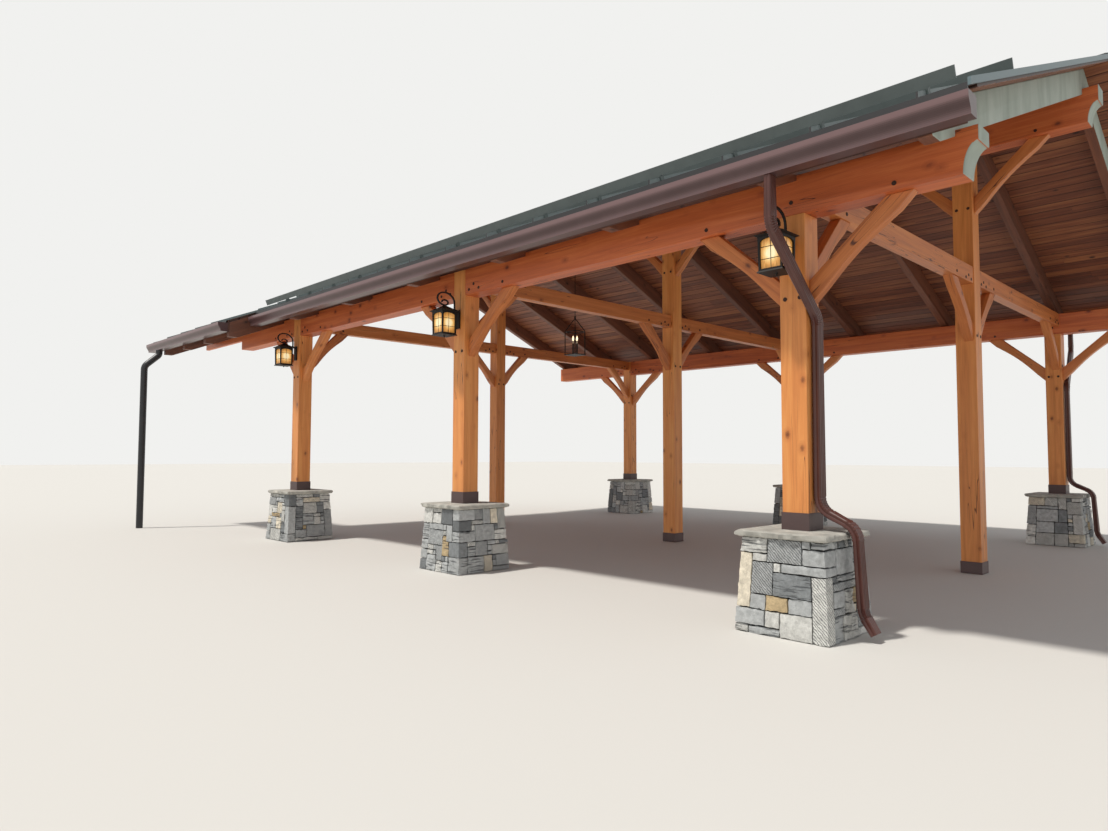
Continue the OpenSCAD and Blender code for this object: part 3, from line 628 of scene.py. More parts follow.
def board_tree():
    steps = Growth("board_rows", {"Board": "Object", "Start": "Float", "End": "Float",
        "Row Step": "Float", "Board Length": "Float", "Rows": "Int", "Boards In Row": "Int",
        "Seed": "Int"})
    entry = steps.entry
    in_row = entry["Boards In Row"]
    points = steps.add("GeometryNodePoints", {"Count": steps.math("MULTIPLY", entry["Rows"], in_row)})
    index = steps.add("GeometryNodeInputIndex")
    row = steps.math("FLOOR", steps.math("DIVIDE", index, in_row))
    column = steps.math("MODULO", index, in_row)
    # Every row slides back by its own share of a board, and is clipped to the roof
    slide = steps.add("FunctionNodeRandomValue", {"Min": -1.0, "Max": 0.0, "ID": row,
        "Seed": entry["Seed"]}, data_type="FLOAT")
    begin = steps.math("MULTIPLY_ADD", steps.math("ADD", column, slide), entry["Board Length"],
        entry["Start"])
    stop = steps.math("MINIMUM", steps.math("ADD", begin, entry["Board Length"]), entry["End"])
    begin = steps.math("MAXIMUM", begin, entry["Start"])
    length = steps.math("SUBTRACT", stop, begin)
    middle = steps.math("MULTIPLY", steps.math("ADD", stop, begin), 0.5)
    down = steps.math("MULTIPLY", steps.math("ADD", row, 0.5), entry["Row Step"])
    spot = steps.add("ShaderNodeCombineXYZ", {"X": middle, "Y": down})
    points = steps.add("GeometryNodeSetPosition", {"Geometry": points, "Position": spot})
    # The shade is mostly the row's and partly the board's own
    row_shade = steps.add("FunctionNodeRandomValue", {"Min": 0.0, "Max": ROW_SHADE, "ID": row,
        "Seed": entry["Seed"]}, data_type="FLOAT")
    own_shade = steps.add("FunctionNodeRandomValue", {"Min": 0.0, "Max": 1 - ROW_SHADE,
        "Seed": entry["Seed"]}, data_type="FLOAT")
    points = steps.add("GeometryNodeStoreNamedAttribute", {"Geometry": points, "Name": "tone",
        "Value": steps.math("ADD", row_shade, own_shade)}, data_type="FLOAT", domain="POINT")
    board = steps.add("GeometryNodeObjectInfo", {"Object": entry["Board"]}).node.outputs["Geometry"]
    size = steps.add("ShaderNodeCombineXYZ", {"X": steps.math("SUBTRACT", length, END_GAP),
        "Y": 1.0, "Z": 1.0})
    kept = steps.add("FunctionNodeCompare", {"A": length, "B": SHORTEST}, operation="GREATER_THAN")
    return steps.fill(points, board, {"Selection": kept, "Scale": size})


# %% Lay the boards under each slope
PITCH = 0.4167
TILT = math.atan(PITCH)
LINING_T = 0.038
BOARD_LENGTH = 3.6
BOARDS_IN_ROW = 6
RIDGE_Y = rows["centre"]
rear_low, rear_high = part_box("ceiling_rear")
front_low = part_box("ceiling_front")[0]
BOARD_UNDER = rear_high.z - LINING_T * math.sqrt(1 + PITCH * PITCH)
print("underside of the boards at the ridge:", round(BOARD_UNDER, 4))


def slope_place(side, run_from):
    """Turns a flat panel into one slope of the roof, from a distance off the ridge."""
    place = Matrix.Identity(4)
    place.col[1] = (0, side * math.cos(TILT), -math.sin(TILT), 0)
    place.col[2] = (0, side * math.sin(TILT), math.cos(TILT), 0)
    place.col[3] = (0, RIDGE_Y + side * run_from, BOARD_UNDER - PITCH * run_from, 1)
    return place


rows_of_boards = board_tree()
empty_mesh = bpy.data.meshes.new("empty")
FAR_END = rear_low.x
NEAR_END = rear_high.x
STRIP_END = front_low.x
STEP_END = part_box("gutter_step")[1].x
MAIN_RUN = rear_high.y - RIDGE_Y
STEP_RUN = RIDGE_Y - front_low.y
# The strip past the beams begins this far from the ridge, measured level
STRIP_BACK = 4.005
# Side of the ridge, run from and to, start and end along the ridge, and seed
panels = {
    "rear_main": (1, 0.0, MAIN_RUN, FAR_END, NEAR_END, 3),
    "front_main": (-1, 0.0, MAIN_RUN, FAR_END, NEAR_END, 5),
    "front_step": (-1, MAIN_RUN, STEP_RUN, FAR_END, STEP_END, 7),
    "front_strip": (-1, STRIP_BACK, STEP_RUN, STRIP_END, FAR_END, 9),
}
for label, (side, run_from, run_to, start, end, seed) in panels.items():
    slope_length = (run_to - run_from) / math.cos(TILT)
    count = round(slope_length / BOARD_W)
    values = {"Board": one_board, "Start": start, "End": end, "Row Step": slope_length / count,
        "Board Length": BOARD_LENGTH, "Rows": count, "Boards In Row": BOARDS_IN_ROW, "Seed": seed,
        "Material": ceiling_boards}
    replaced = {"rear_main": ["ceiling_rear"], "front_main": ["ceiling_front"]}.get(label, ())
    piece = grow("boards_" + label, empty_mesh, rows_of_boards, values, replaced,
        slope_place(side, run_from))
    print(piece.name, len(piece.data.polygons), "faces")

# %% [markdown]
# Above the boards lies a plain deck that the metal is fixed to. Only its edges can be seen, at
# the gable ends and the eaves, so a thin slab with the same slope is enough.

# %% Deck over the boards
def deck_slab(shape, side, run_from, run_to, start, end):
    rings = []
    for x in (start, end):
        rings.append([])
        for run, lift in ((run_from, BOARD_T), (run_to, BOARD_T), (run_to, LINING_T),
                (run_from, LINING_T)):
            z = BOARD_UNDER - PITCH * run + lift / math.cos(TILT)
            rings[-1].append(shape.verts.new((x, RIDGE_Y + side * run, z)))
    stitch(shape, rings)


shape = bmesh.new()
for *panel, _ in panels.values():
    deck_slab(shape, *panel)
bmesh.ops.recalc_face_normals(shape, faces=shape.faces)
mark_grain(shape, chance)
make_piece(shape, "roof_deck", [dark_fir], smooth_angle=0)

# %% [markdown]
# ## Stone piers
#
# Each pier is faced with grey stone cut to squared blocks of many sizes, laid with tight dark
# joints. Some faces are split rough, some are sawn flat and some carry the slanting marks of a
# chisel, and a few blocks are cream or tan. The solid model has the plain tapering block. Here
# it becomes a dark core, and real stones are built round it.

# %% Ashlar stone and bedding
def stone_material():
    """Reads each stone's own colour, finish and lightness from the attribute named stone."""
    steps = Recipe("grey_ashlar_stone")
    place = steps.place()
    own = steps.add("ShaderNodeSeparateXYZ", {"Vector": steps.read("stone", "Vector")}).node.outputs
    base = steps.ramp(own["X"], (0.0, "#878B8D"), (0.2, "#B9BCBC"), (0.4, "#DADAD5"), (0.6, "#C2AC86"),
        (0.8, "#EDE3CE"))
    base.node.color_ramp.interpolation = "CONSTANT"
    # Mottling of 40 mm and grit of 4 mm
    mottle = steps.noise(place, 24.0, 7.0, 0.68)
    grit = steps.noise(place, 240.0, 2.0)
    light = steps.math("MULTIPLY", steps.fade(mottle, 0.28, 0.72, 0.62, 1.16), own["Z"])
    colour = steps.add("ShaderNodeVectorMath", {0: base, "Scale": light}, operation="SCALE")
    # The beds of a split face lie flat, 15 mm apart
    beds = steps.noise(place, (5, 5, 62), 5.0)
    seam = steps.math("MULTIPLY", steps.fade(beds, 0.46, 0.38), steps.fade(own["Y"], 0.36, 0.30))
    # The marks of the chisel lie 18 mm apart
    marks = steps.add("ShaderNodeTexWave", {"Vector": place, "Scale": 25.0, "Distortion": 4.0,
        "Detail": 2.0, "Detail Scale": 1.5}, wave_type="BANDS", bands_direction="DIAGONAL")
    nick = steps.math("MULTIPLY", steps.fade(marks, 0.35, 0.05, high=0.9),
        steps.fade(own["Y"], 0.64, 0.70))
    pit = steps.fade(grit, 0.36, 0.28, high=0.4)
    # The chisel marks and the bed seams are darkened as painted shade in their grooves, and the pits are
    # darkened too
    dark = steps.math("MAXIMUM", steps.math("MAXIMUM", seam, nick), pit)
    dark = steps.math("MULTIPLY", dark, 0.80)
    colour = steps.mix(dark, colour, "#4E5154")
    depth = steps.math("MULTIPLY_ADD", grit, 0.25, mottle)
    depth = steps.math("MULTIPLY_ADD", dark, -0.9, depth)
    return steps.finish(colour, 0.88, steps.bump(depth, 0.9, 0.008))


ashlar_stone = stone_material()
bedding = speckled("dark_bedding_mortar", 180.0, 3.0, [(0.3, "#1B1A19"), (0.7, "#3A3836")], 0.95)

# %% Draw the surface of a block as a lattice of points
def lattice(shape, counts):
    """Returns each point with its place in the block, from -0.5 to 0.5 each way."""
    found = {}

    def point(key):
        if key not in found:
            found[key] = shape.verts.new([key[i] / counts[i] - 0.5 for i in range(3)])
        return found[key]

    for axis in range(3):
        u, v = (axis + 1) % 3, (axis + 2) % 3
        for end in (0, counts[axis]):
            for i in range(counts[u]):
                for j in range(counts[v]):
                    corners = []
                    for a, b in ((0, 0), (1, 0), (1, 1), (0, 1)):
                        key = [0, 0, 0]
                        key[axis], key[u], key[v] = end, i + a, j + b
                        corners.append(point(tuple(key)))
                    shape.faces.new(corners if end else corners[::-1])
    return [(vert, vert.co.copy()) for vert in found.values()]


def quarter_turn(count):
    return Matrix.Rotation(count * math.pi / 2, 3, "Z")


# %% Build one stone
COLOURS = {"dark": 0.1, "grey": 0.3, "pale": 0.5, "tan": 0.7, "cream": 0.9}
FINISHES = {"split": 0.1, "flat": 0.5, "chiselled": 0.9}
# How far the face swings in and out, in metres. It swings less along the face than out of it.
ROUGHNESS = {"split": 0.014, "flat": 0.006, "chiselled": 0.005}
SWING = Vector((0.4, 1.0, 0.4))
# How far a stone stands out of the pier, and how light it is against its neighbours
PROUD = (-0.004, 0.006)
LIGHTNESS = (0.86, 1.10)
RAGGED = Vector((0.007, 0.0, 0.007))
JOINT = 0.005
WORN = 0.003
FACE_STEP = 0.022
DEPTH_STEP = 0.05
# Waves in a metre: the humps of a face, the chips on it and the wander of its edges
HUMPS = 14
CHIPS = 45
WANDER = 30
ON_RIM = 0.49
SEED_RANGE = 50


def add_stone(shape, low, high, colour, finish, layer, chance):
    """A block from corner low to corner high, with its outer face toward -y."""
    size = Vector(high) - Vector(low)
    centre = (Vector(high) + Vector(low)) / 2
    counts = [max(3, round(size.x / FACE_STEP)), max(2, round(size.y / DEPTH_STEP)),
        max(3, round(size.z / FACE_STEP))]
    seed = Vector([chance.uniform(0, SEED_RANGE) for _ in range(3)])
    own = Vector((COLOURS[colour], FINISHES[finish], chance.uniform(*LIGHTNESS)))
    proud = chance.uniform(*PROUD)
    rough = SWING * ROUGHNESS[finish]
    stone = lattice(shape, counts)
    for vert, unit in stone:
        vert.co = centre + Vector([unit[i] * size[i] for i in range(3)])
        vert.co += noise.noise_vector(vert.co * HUMPS + seed) * rough
        vert.co += noise.noise_vector(vert.co * CHIPS + seed) * rough * 0.4
        rim = [abs(c) > ON_RIM for c in unit]
        if rim[0] or rim[2]:
            vert.co += noise.noise_vector(vert.co * WANDER + seed) * RAGGED
        if sum(rim) > 1:
            vert.co -= Vector([math.copysign(WORN, unit[i]) * rim[i] for i in range(3)])
        if unit.y < 0:
            vert.co.y -= proud
        vert[layer] = own
    return [vert for vert, unit in stone]


# %% [markdown]
# The stones of a pier fill a grid of 12 by 12 small cells. The corner stones come first. They run
# round the corner, and each is given by its lowest and highest row and by how many cells it
# reaches along both faces. The cells that are left on each face are then filled with whatever
# sizes fit, large ones first. The front of the near pier is the one that is seen best, so its
# stones are listed to match it, as first cell, cells wide and cells high.

# %% List the stones of the near pier
CELLS = 12
NEAR_CORNERS = {
    0: [(0, 1, 2, 3, "pale", "split"), (1, 3, 4, 2, "grey", "flat"), (3, 10, 2, 2, "cream", "flat"),
        (10, 12, 4, 2, "pale", "split")],
    1: [(0, 8, 2, 2, "pale", "chiselled"), (8, 9, 3, 6, "grey", "flat"), (9, 11, 3, 3, "grey", "flat"),
        (11, 12, 4, 2, "grey", "split")],
}
NEAR_FRONT = [(2, 0, 4, 1, "grey", "split"), (6, 0, 4, 3, "pale", "flat"), (4, 1, 2, 2, "pale", "flat"),
    (2, 3, 2, 2, "grey", "flat"), (4, 3, 3, 2, "tan", "flat"), (7, 3, 3, 2, "grey", "flat"),
    (2, 5, 3, 4, "grey", "chiselled"), (5, 5, 5, 3, "dark", "split"), (5, 8, 1, 1, "pale", "flat"),
    (2, 9, 2, 1, "pale", "flat"), (4, 9, 5, 3, "grey", "chiselled"), (9, 11, 1, 1, "grey", "flat")]

# %% Set out the other stones by chance
SIZES = [(5, 3), (4, 3), (3, 3), (4, 2), (3, 2), (2, 3), (5, 1), (3, 1), (2, 2), (2, 1), (1, 1)]
# How many stones in a hundred have each colour
COLOUR_SHARES = {"dark": 14, "grey": 40, "pale": 32, "tan": 5, "cream": 9}


def any_look(chance):
    colour = chance.choices(list(COLOUR_SHARES), list(COLOUR_SHARES.values()))[0]
    return colour, chance.choice(list(FINISHES))


def corner_stack(chance):
    stack = []
    row = 0
    while row < CELLS:
        top = min(row + chance.choice([1, 2, 2, 3, 5, 7]), CELLS)
        reach = (2, 2) if top - row > 3 else chance.choice([(4, 2), (2, 4), (3, 2), (2, 3)])
        stack.append((row, top, *reach, *any_look(chance)))
        row = top
    return stack


def fill_face(left, right, chance):
    """Stones for the cells that the two stacks of corner stones leave free."""
    taken = {(c, r) for low, high, leg, *_ in left for c in range(leg) for r in range(low, high)}
    taken |= {(CELLS - 1 - c, r) for low, high, _, leg, *_ in right for c in range(leg)
        for r in range(low, high)}
    stones = []
    for row in range(CELLS):
        for column in range(CELLS):
            if (column, row) in taken:
                continue
            for wide, tall in sorted(SIZES, key=lambda size: chance.random() / (size[0] * size[1])):
                cells = {(column + i, row + j) for i in range(wide) for j in range(tall)}
                inside = column + wide <= CELLS and row + tall <= CELLS
                if inside and not cells & taken:
                    stones.append((column, row, wide, tall, *any_look(chance)))
                    taken |= cells
                    break
    return stones


# %% Build a whole pier
STONE_DEPTH = 0.09
CORE_IN = 0.022
CORE_DOWN = 0.002
PIER_TAPER = 650 / 740
WAVER = 0.16


def pier_piece(node_name, seed):
    low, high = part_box(node_name)
    centre = (low + high) / 2
    half = (high.x - low.x) / 2
    height = high.z - low.z
    chance = random.Random(seed)
    by_hand = node_name == "pier_front_near"
    shape = bmesh.new()
    layer = shape.verts.layers.float_vector.new("stone")
    # The lines of the grid waver a little. Those across the width mirror each other, so that a
    # corner stone fits both of its faces.
    shares = [(i + chance.uniform(-WAVER, WAVER) * (0 < i < CELLS)) / CELLS for i in range(CELLS + 1)]
    levels = [height * share for share in shares]
    places = [half * (2 * shares[i] - 1) for i in range(CELLS // 2)] + [0.0]
    places += [-place for place in places[-2::-1]]
    stacks = [corner_stack(chance) for _ in range(4)]
    if by_hand:
        for corner, stack in NEAR_CORNERS.items():
            stacks[corner] = stack
    gap = JOINT / 2
    for side in range(4):
        turn = quarter_turn(side)
        blocks = [(places[0], places[leg], places[depth], row, top, colour, finish)
            for row, top, leg, depth, colour, finish in stacks[side]]
        stones = fill_face(stacks[side], stacks[(side + 1) % 4], chance)
        if by_hand and side == 0:
            stones = NEAR_FRONT
        for column, row, wide, tall, colour, finish in stones:
            blocks.append((places[column], places[column + wide], -half + STONE_DEPTH, row, row + tall,
                colour, finish))
        for start, stop, back, row, top, colour, finish in blocks:
            corner = (start + gap, -half, levels[row] + gap)
            other = (stop - gap, back - gap, levels[top] - gap)
            for vert in add_stone(shape, corner, other, colour, finish, layer, chance):
                vert.co = turn @ vert.co
    core_wide = 2 * (half - CORE_IN)
    core = bmesh.ops.create_cube(shape, size=1.0)["verts"]
    for vert in core:
        vert.co = Vector((vert.co.x * core_wide, vert.co.y * core_wide,
            (vert.co.z + 0.5) * (height - 2 * CORE_DOWN) + CORE_DOWN))
    for vert in shape.verts:
        scale = 1 - (1 - PIER_TAPER) * max(0.0, min(1.0, vert.co.z / height))
        vert.co = Vector((centre.x + vert.co.x * scale, centre.y + vert.co.y * scale,
            min(max(vert.co.z, 0.0), height) + low.z))
    for face in {face for vert in core for face in vert.link_faces}:
        face.material_index = SECOND_MATERIAL
    return make_piece(shape, "stones_" + node_name, [ashlar_stone, bedding],
        [node_name], smooth_angle=40)


pier_names = sorted(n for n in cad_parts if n.startswith("pier_") and "caps" not in n)
for seed, name in enumerate(pier_names, start=100):
    piece = pier_piece(name, seed)
    print(piece.name, len(piece.data.polygons), "faces")

# %% [markdown]
# A cap is one slab of grey stone. Its top is flat and finely pitted, and its edge is broken by
# hand, so it wavers by a few millimetres. A grid of points whose edge is shaken by noise gives
# the broken edge, and a fine noise in the material gives the pits.

# %% Pier caps
CAP_GRID = (26, 26, 4)
EDGE_WAVES = 26
EDGE_IN = 0.010
EDGE_SHAKE = 0.024
ARRIS_IN = 0.007
ARRIS_DOWN = 0.003
ARRIS_SHAKE = 0.009


def cap_material():
    steps = Recipe("thermal_cap_stone")
    place = steps.place()
    pits = steps.noise(place, 300.0, 2.0)
    colour = steps.ramp(steps.noise(place, 9.0, 5.0), (0.3, "#97968F"), (0.55, "#AFADA5"),
        (0.75, "#C7C4BA"))
    colour = steps.mix(steps.fade(pits, 0.40, 0.30, high=0.45), colour, "#5E5D5B")
    return steps.finish(colour, 0.8, steps.bump(pits, 0.5, 0.002))


def cap_slab(shape, low, high, chance):
    size = high - low
    centre = (high + low) / 2
    seed = Vector([chance.uniform(0, SEED_RANGE) for _ in range(3)])
    for vert, unit in lattice(shape, CAP_GRID):
        vert.co = centre + Vector([unit[i] * size[i] for i in range(3)])
        if max(abs(unit.x), abs(unit.y)) > ON_RIM:
            shake = noise.noise_vector(vert.co * EDGE_WAVES + seed)
            outward = Vector((unit.x, unit.y, 0)).normalized()
            vert.co += outward * (shake.x * EDGE_SHAKE - EDGE_IN)
            if abs(unit.z) > ON_RIM:
                vert.co -= outward * ARRIS_IN
                vert.co.z -= math.copysign(ARRIS_DOWN + abs(shake.y) * ARRIS_SHAKE, unit.z)


cap_stone = cap_material()
for row in ("front", "rear"):
    shape = bmesh.new()
    for verts in islands(merged_copy("pier_caps_" + row)):
        cap_slab(shape, *limits(verts), chance)
    make_piece(shape, "slabs_" + row, [cap_stone], ["pier_caps_" + row], smooth_angle=35)

# %% [markdown]
# ## Painted metal
#
# The roof sheets, the trim, the gutters and the pipes are all sheet metal with a baked paint. It
# is an even colour with a soft sheen, and what gives it away as real is a faint waviness of the
# sheet and a thin film of dust. One function makes them all, each with its own colour. The roof
# sheets also have a darker fold along the eave, which is the only face that stands upright. Along
# the gutters the faces that look up or out are paler: partly chalked paint and partly painted
# reflection of the bright sky. Underneath and at the ends they keep the paint's own colour.

# %% Painted sheet metal
def painted_sheet(name, tone, dust_and_sheen_tone, roughness, wave_metres, wave_depth, dusty=0.35, fold_tone=None,
        chalk_and_sheen=0.0):
    steps = Recipe(name)
    place = steps.place()
    film = steps.noise(place, 2.2, 6.0, 0.65)
    speck = steps.noise(place, 220.0, 1.0)
    colour = steps.mix(steps.fade(film, 0.40, 0.75, high=dusty), tone, dust_and_sheen_tone)
    facing = steps.add("ShaderNodeNewGeometry").node.outputs["Normal"]
    facing = steps.add("ShaderNodeSeparateXYZ", {"Vector": facing}).node.outputs
    # Faces along the gutter that look up or out turn paler: partly chalked paint, partly painted
    # reflection of the sky
    if chalk_and_sheen:
        chalk_and_sheen_share = steps.fade(facing["Z"], -0.55, -0.10, high=chalk_and_sheen)
        lengthwise = steps.fade(steps.math("ABSOLUTE", facing["X"]), 0.6, 0.3)
        colour = steps.mix(steps.math("MULTIPLY", chalk_and_sheen_share, lengthwise), colour, dust_and_sheen_tone)
    if fold_tone:
        upright = steps.fade(steps.math("ABSOLUTE", facing["Y"]), 0.80, 0.86)
        colour = steps.mix(upright, colour, fold_tone)
    gloss = steps.fade(film, 0, 1, roughness - 0.06, roughness + 0.12)
    wave = steps.noise(place, 1 / wave_metres, 1.0)
    depth = steps.math("MULTIPLY_ADD", speck, 0.02, wave)
    return steps.finish(colour, gloss, steps.bump(depth, 0.5, wave_depth))


roof_paint = painted_sheet("coated_steel_roofing", "#7C8686", "#A0A6A5", 0.40, 0.35, 0.004,
    fold_tone="#2C2B2D")
guard_paint = painted_sheet("painted_snow_guard", "#56605F", "#828C8B", 0.42, 0.5, 0.001)
rake_paint = painted_sheet("painted_rake_trim", "#5F7277", "#84959B", 0.40, 0.4, 0.002)
gutter_paint = painted_sheet("painted_gutter_aluminium", "#4A3334", "#9C7E7E", 0.28, 2.5, 0.001,
    dusty=0.08, chalk_and_sheen=0.42)
pipe_paint = painted_sheet("painted_downspout_aluminium", "#4E2A24", "#734438", 0.27, 0.3, 0.001)
black_pipe_paint = painted_sheet("black_round_pipe", "#1B1C1F", "#3C3D40", 0.34, 0.3, 0.001)
shoe_paint = painted_sheet("dark_bronze_shoe", "#52403F", "#735C5C", 0.42, 0.2, 0.001)

# %% Paint the sheet metal of the solid model
def paint(names, material):
    for name in names:
        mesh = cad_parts[name].data
        mesh.materials.clear()
        mesh.materials.append(material)


paint(["roof_sheet_front", "roof_sheet_rear", "ridge_cap"], roof_paint)
paint(["snow_guards_front", "snow_guards_rear"], guard_paint)
paint(["rake_trim"], rake_paint)
paint(["gutter_front", "gutter_step", "gutter_rear"], gutter_paint)
paint(["post_shoes"], shoe_paint)

# %% [markdown]
# ## Downspouts
#
# A downspout is a rectangular tube with shallow flutes along it, and its elbows are crimped
# into fine ribs so that they can bend. The tube is swept in code: rings of points follow the
# pipe's line, and at each bend the rings swell and shrink in turn. The far pipe is round and
# smooth, and uses the same sweep with another section.

# %% Round the corners of a pipe's line
# A bend takes up less than half of the straight on either side of it
LONGEST_REACH = 0.45


def rounded_line(corners, radius, rings):
    """Points and a flag that is true on a bend."""
    line = [(Vector(corners[0]), False)]
    for before, corner, after in zip(corners, corners[1:], corners[2:]):
        before, corner, after = Vector(before), Vector(corner), Vector(after)
        arrive = (corner - before).normalized()
        leave = (after - corner).normalized()
        reach = min(radius * math.tan(arrive.angle(leave) / 2),
            LONGEST_REACH * (corner - before).length, LONGEST_REACH * (after - corner).length)
        a = corner - arrive * reach
        b = corner + leave * reach
        for i in range(rings + 1):
            t = i / rings
            spot = a.lerp(corner, t).lerp(corner.lerp(b, t), t)
            line.append((spot, True))
    line.append((Vector(corners[-1]), False))
    return line


# %% Sweep a section along a line
def sweep(shape, line, section, flat, rib):
    """Every ring of the sweep keeps its first direction as near to flat as the line allows."""
    flat = Vector(flat)
    wide = max(a for a, b in section)
    deep = max(b for a, b in section)
    rings = []
    for i, (spot, bend) in enumerate(line):
        before = line[max(i - 1, 0)][0]
        after = line[min(i + 1, len(line) - 1)][0]
        along = (after - before).normalized()
        first = (flat - along * along.dot(flat)).normalized()
        second = along.cross(first)
        swell = rib * (i % 2) * bend
        rings.append([shape.verts.new(spot + first * (a + swell * a / wide)
            + second * (b + swell * b / deep)) for a, b in section])
    stitch(shape, rings)
    bmesh.ops.recalc_face_normals(shape, faces=shape.faces)


# %% Section of the fluted pipe
PIPE_CORNER = 0.006
FLUTE_DEPTH = 0.004
FLUTE_HALF = 0.14


def fluted_section(broad, narrow):
    """A rectangle with three flutes on each broad side, one on each narrow side, and soft corners."""
    w = broad / 2
    d = narrow / 2
    half = [(-w + PIPE_CORNER, -d)]
    for middle in (-0.5, 0.0, 0.5):
        half += [(w * (middle - FLUTE_HALF), -d), (w * middle, -d + FLUTE_DEPTH),
            (w * (middle + FLUTE_HALF), -d)]
    half += [(w - PIPE_CORNER, -d), (w, -d + PIPE_CORNER), (w, -d * 0.25), (w - FLUTE_DEPTH, 0),
        (w, d * 0.25), (w, d - PIPE_CORNER)]
    return half + [(-x, -y) for x, y in half]


# %% Line of a downspout, from the same sizes as the solid
PIPE_BROAD = 0.086
PIPE_NARROW = 0.052
PIPE_BEND = 0.15
BEND_RINGS = 14
RIB = 0.0035
OUTLET_OVER = 0.095
OFF_POST = 0.013
OFF_CAP = 0.030


def pipe_corners(node_name, side):
    low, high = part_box(node_name)
    cap_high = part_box("pier_caps_front")[1]
    x_out = bents["near"] + OUTLET_OVER
    y_out = low.y + PIPE_BROAD / 2 if side < 0 else high.y - PIPE_BROAD / 2
    y_post = rows["front" if side < 0 else "rear"]
    x_post = bents["near"] + HALF_POST + OFF_POST + PIPE_NARROW / 2
    x_pier = cap_high.x + OFF_CAP + PIPE_NARROW / 2
    return [
        # Straight down out of the gutter
        (x_out, y_out, high.z - 0.001), (x_out, y_out, high.z - 0.350),
        # Back to the post and down its face
        (x_post, y_post, high.z - 0.950), (x_post, y_post, cap_high.z + 0.163),
        # Round the cap, down beside the pier and away at its foot
        (x_pier, y_post, cap_high.z + 0.031), (x_pier + 0.033, y_post, 0.190),
        (x_pier + 0.119, y_post, 0.055)]


for name, side in (("downspout_near", -1), ("downspout_rear", 1)):
    shape = bmesh.new()
    line = rounded_line(pipe_corners(name, side), PIPE_BEND, BEND_RINGS)
    sweep(shape, line, fluted_section(PIPE_BROAD, PIPE_NARROW), (0, 1, 0), RIB)
    piece = make_piece(shape, "fluted_" + name, [pipe_paint], [name], smooth_angle=32)
    print(piece.name, len(line), "rings")

# %% Round pipe at the far end
ROUND_R = 0.055
ROUND_SIDES = 28
ROUND_BEND_RINGS = 10
low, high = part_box("downspout_far")
x = (low.x + high.x) / 2
y_out = high.y - ROUND_R
y_pipe = low.y + ROUND_R
corners = [(x, y_out, high.z - 0.003), (x, y_out, high.z - 0.087), (x, y_pipe, high.z - 0.307),
    (x, y_pipe, 0.002)]
angles = [i * math.tau / ROUND_SIDES for i in range(ROUND_SIDES)]
ring = [(ROUND_R * math.cos(a), ROUND_R * math.sin(a)) for a in angles]
shape = bmesh.new()
sweep(shape, rounded_line(corners, PIPE_BEND, ROUND_BEND_RINGS), ring, (1, 0, 0), 0.0)
make_piece(shape, "round_downspout_far", [black_pipe_paint], ["downspout_far"],
    smooth_angle=50)

# %% [markdown]
# ## Lanterns
#
# The lanterns are cast iron, painted black. Their rippled glass glows amber, because the lamps
# are lit: it is brightest at the middle of each pane, in front of the bulb. Each block of glass is
# drawn again with more points, so that every point can carry its share of that glow. Thin lead
# bars cross the panes, and a small turned drop hangs under the tray.

# %% Iron, glass and bulb materials
def iron_material():
    steps = Recipe("black_painted_cast_iron")
    cast = steps.noise(steps.place(), 160.0, 3.0)
    colour = steps.ramp(cast, (0.3, "#0F0C0B"), (0.8, "#221C19"))
    return steps.finish(colour, 0.55, steps.bump(cast, 0.5, 0.001), {"Specular IOR Level": 0.3})


def glass_material():
    steps = Recipe("rippled_amber_glass")
    # The ripples stand upright, about 8 mm wide
    ripple = steps.noise(steps.place(), (120, 120, 18), 2.0)
    shade = steps.math("MULTIPLY_ADD", ripple, 0.5, steps.read("glow"))
    lit = steps.ramp(shade, (0.18, "#8F6029"), (0.42, "#CD9249"), (0.75, "#F3C77E"), (1.0, "#FFEEBE"))
    return steps.finish(lit, 0.15, steps.bump(ripple, 0.4, 0.001),
        {"Emission Color": lit, "Emission Strength": 0.55})


def bulb_material():
    steps = Recipe("lit_candle_bulb_glass")
    lit = steps.ramp(steps.noise(steps.place(), 60.0, 1.0), (0.3, "#FFD28A"), (0.6, "#FFF3D2"))
    return steps.finish(lit, 0.1, more={"Emission Color": lit, "Emission Strength": 1.6})


lantern_iron = iron_material()
amber_glass = glass_material()
bulb_glass = bulb_material()
candle_ivory = speckled("ivory_candle_sleeve", 90.0, 2.0, [(0.3, "#CDBE9E"), (0.7, "#E6DABF")], 0.5)
paint(["wall_lantern_near", "wall_lantern_mid", "wall_lantern_far", "pendant_lantern"], lantern_iron)

# %% Find the three blocks of glass
panes = []
for verts in islands(merged_copy("lantern_glass")):
    low, high = limits(verts)
    middle = (low.x + high.x) / 2
    foot = max(v.co.x for v in verts if v.co.z < low.z + NEARLY) - middle
    panes.append((low, high, foot))
print("glass blocks:", len(panes), "width", round(panes[0][1].x - panes[0][0].x, 3))

# %% Draw the glass again with its glow
GLOW_REACH = 0.048
PANE_GRID = (12, 12, 14)
shape = bmesh.new()
layer = shape.verts.layers.float.new("glow")
for low, high, foot in panes:
    size = high - low
    centre = (low + high) / 2
    for vert, unit in lattice(shape, PANE_GRID):
        share = 2 * foot / size.x + (1 - 2 * foot / size.x) * (unit.z + 0.5)
        vert.co = centre + Vector((unit.x * size.x * share, unit.y * size.y * share, unit.z * size.z))
        across = min(abs(unit.x), abs(unit.y)) * size.x
        distance = math.hypot(across, unit.z * size.z)
        vert[layer] = math.exp(-((distance / GLOW_REACH) ** 2) / 2)
make_piece(shape, "amber_panes", [amber_glass], ["lantern_glass"], smooth_angle=30)

# %% Lead bars on the panes
LEAD_W = 0.005
LEAD_T = 0.004
CROSS_BARS = (0.34, 0.70)


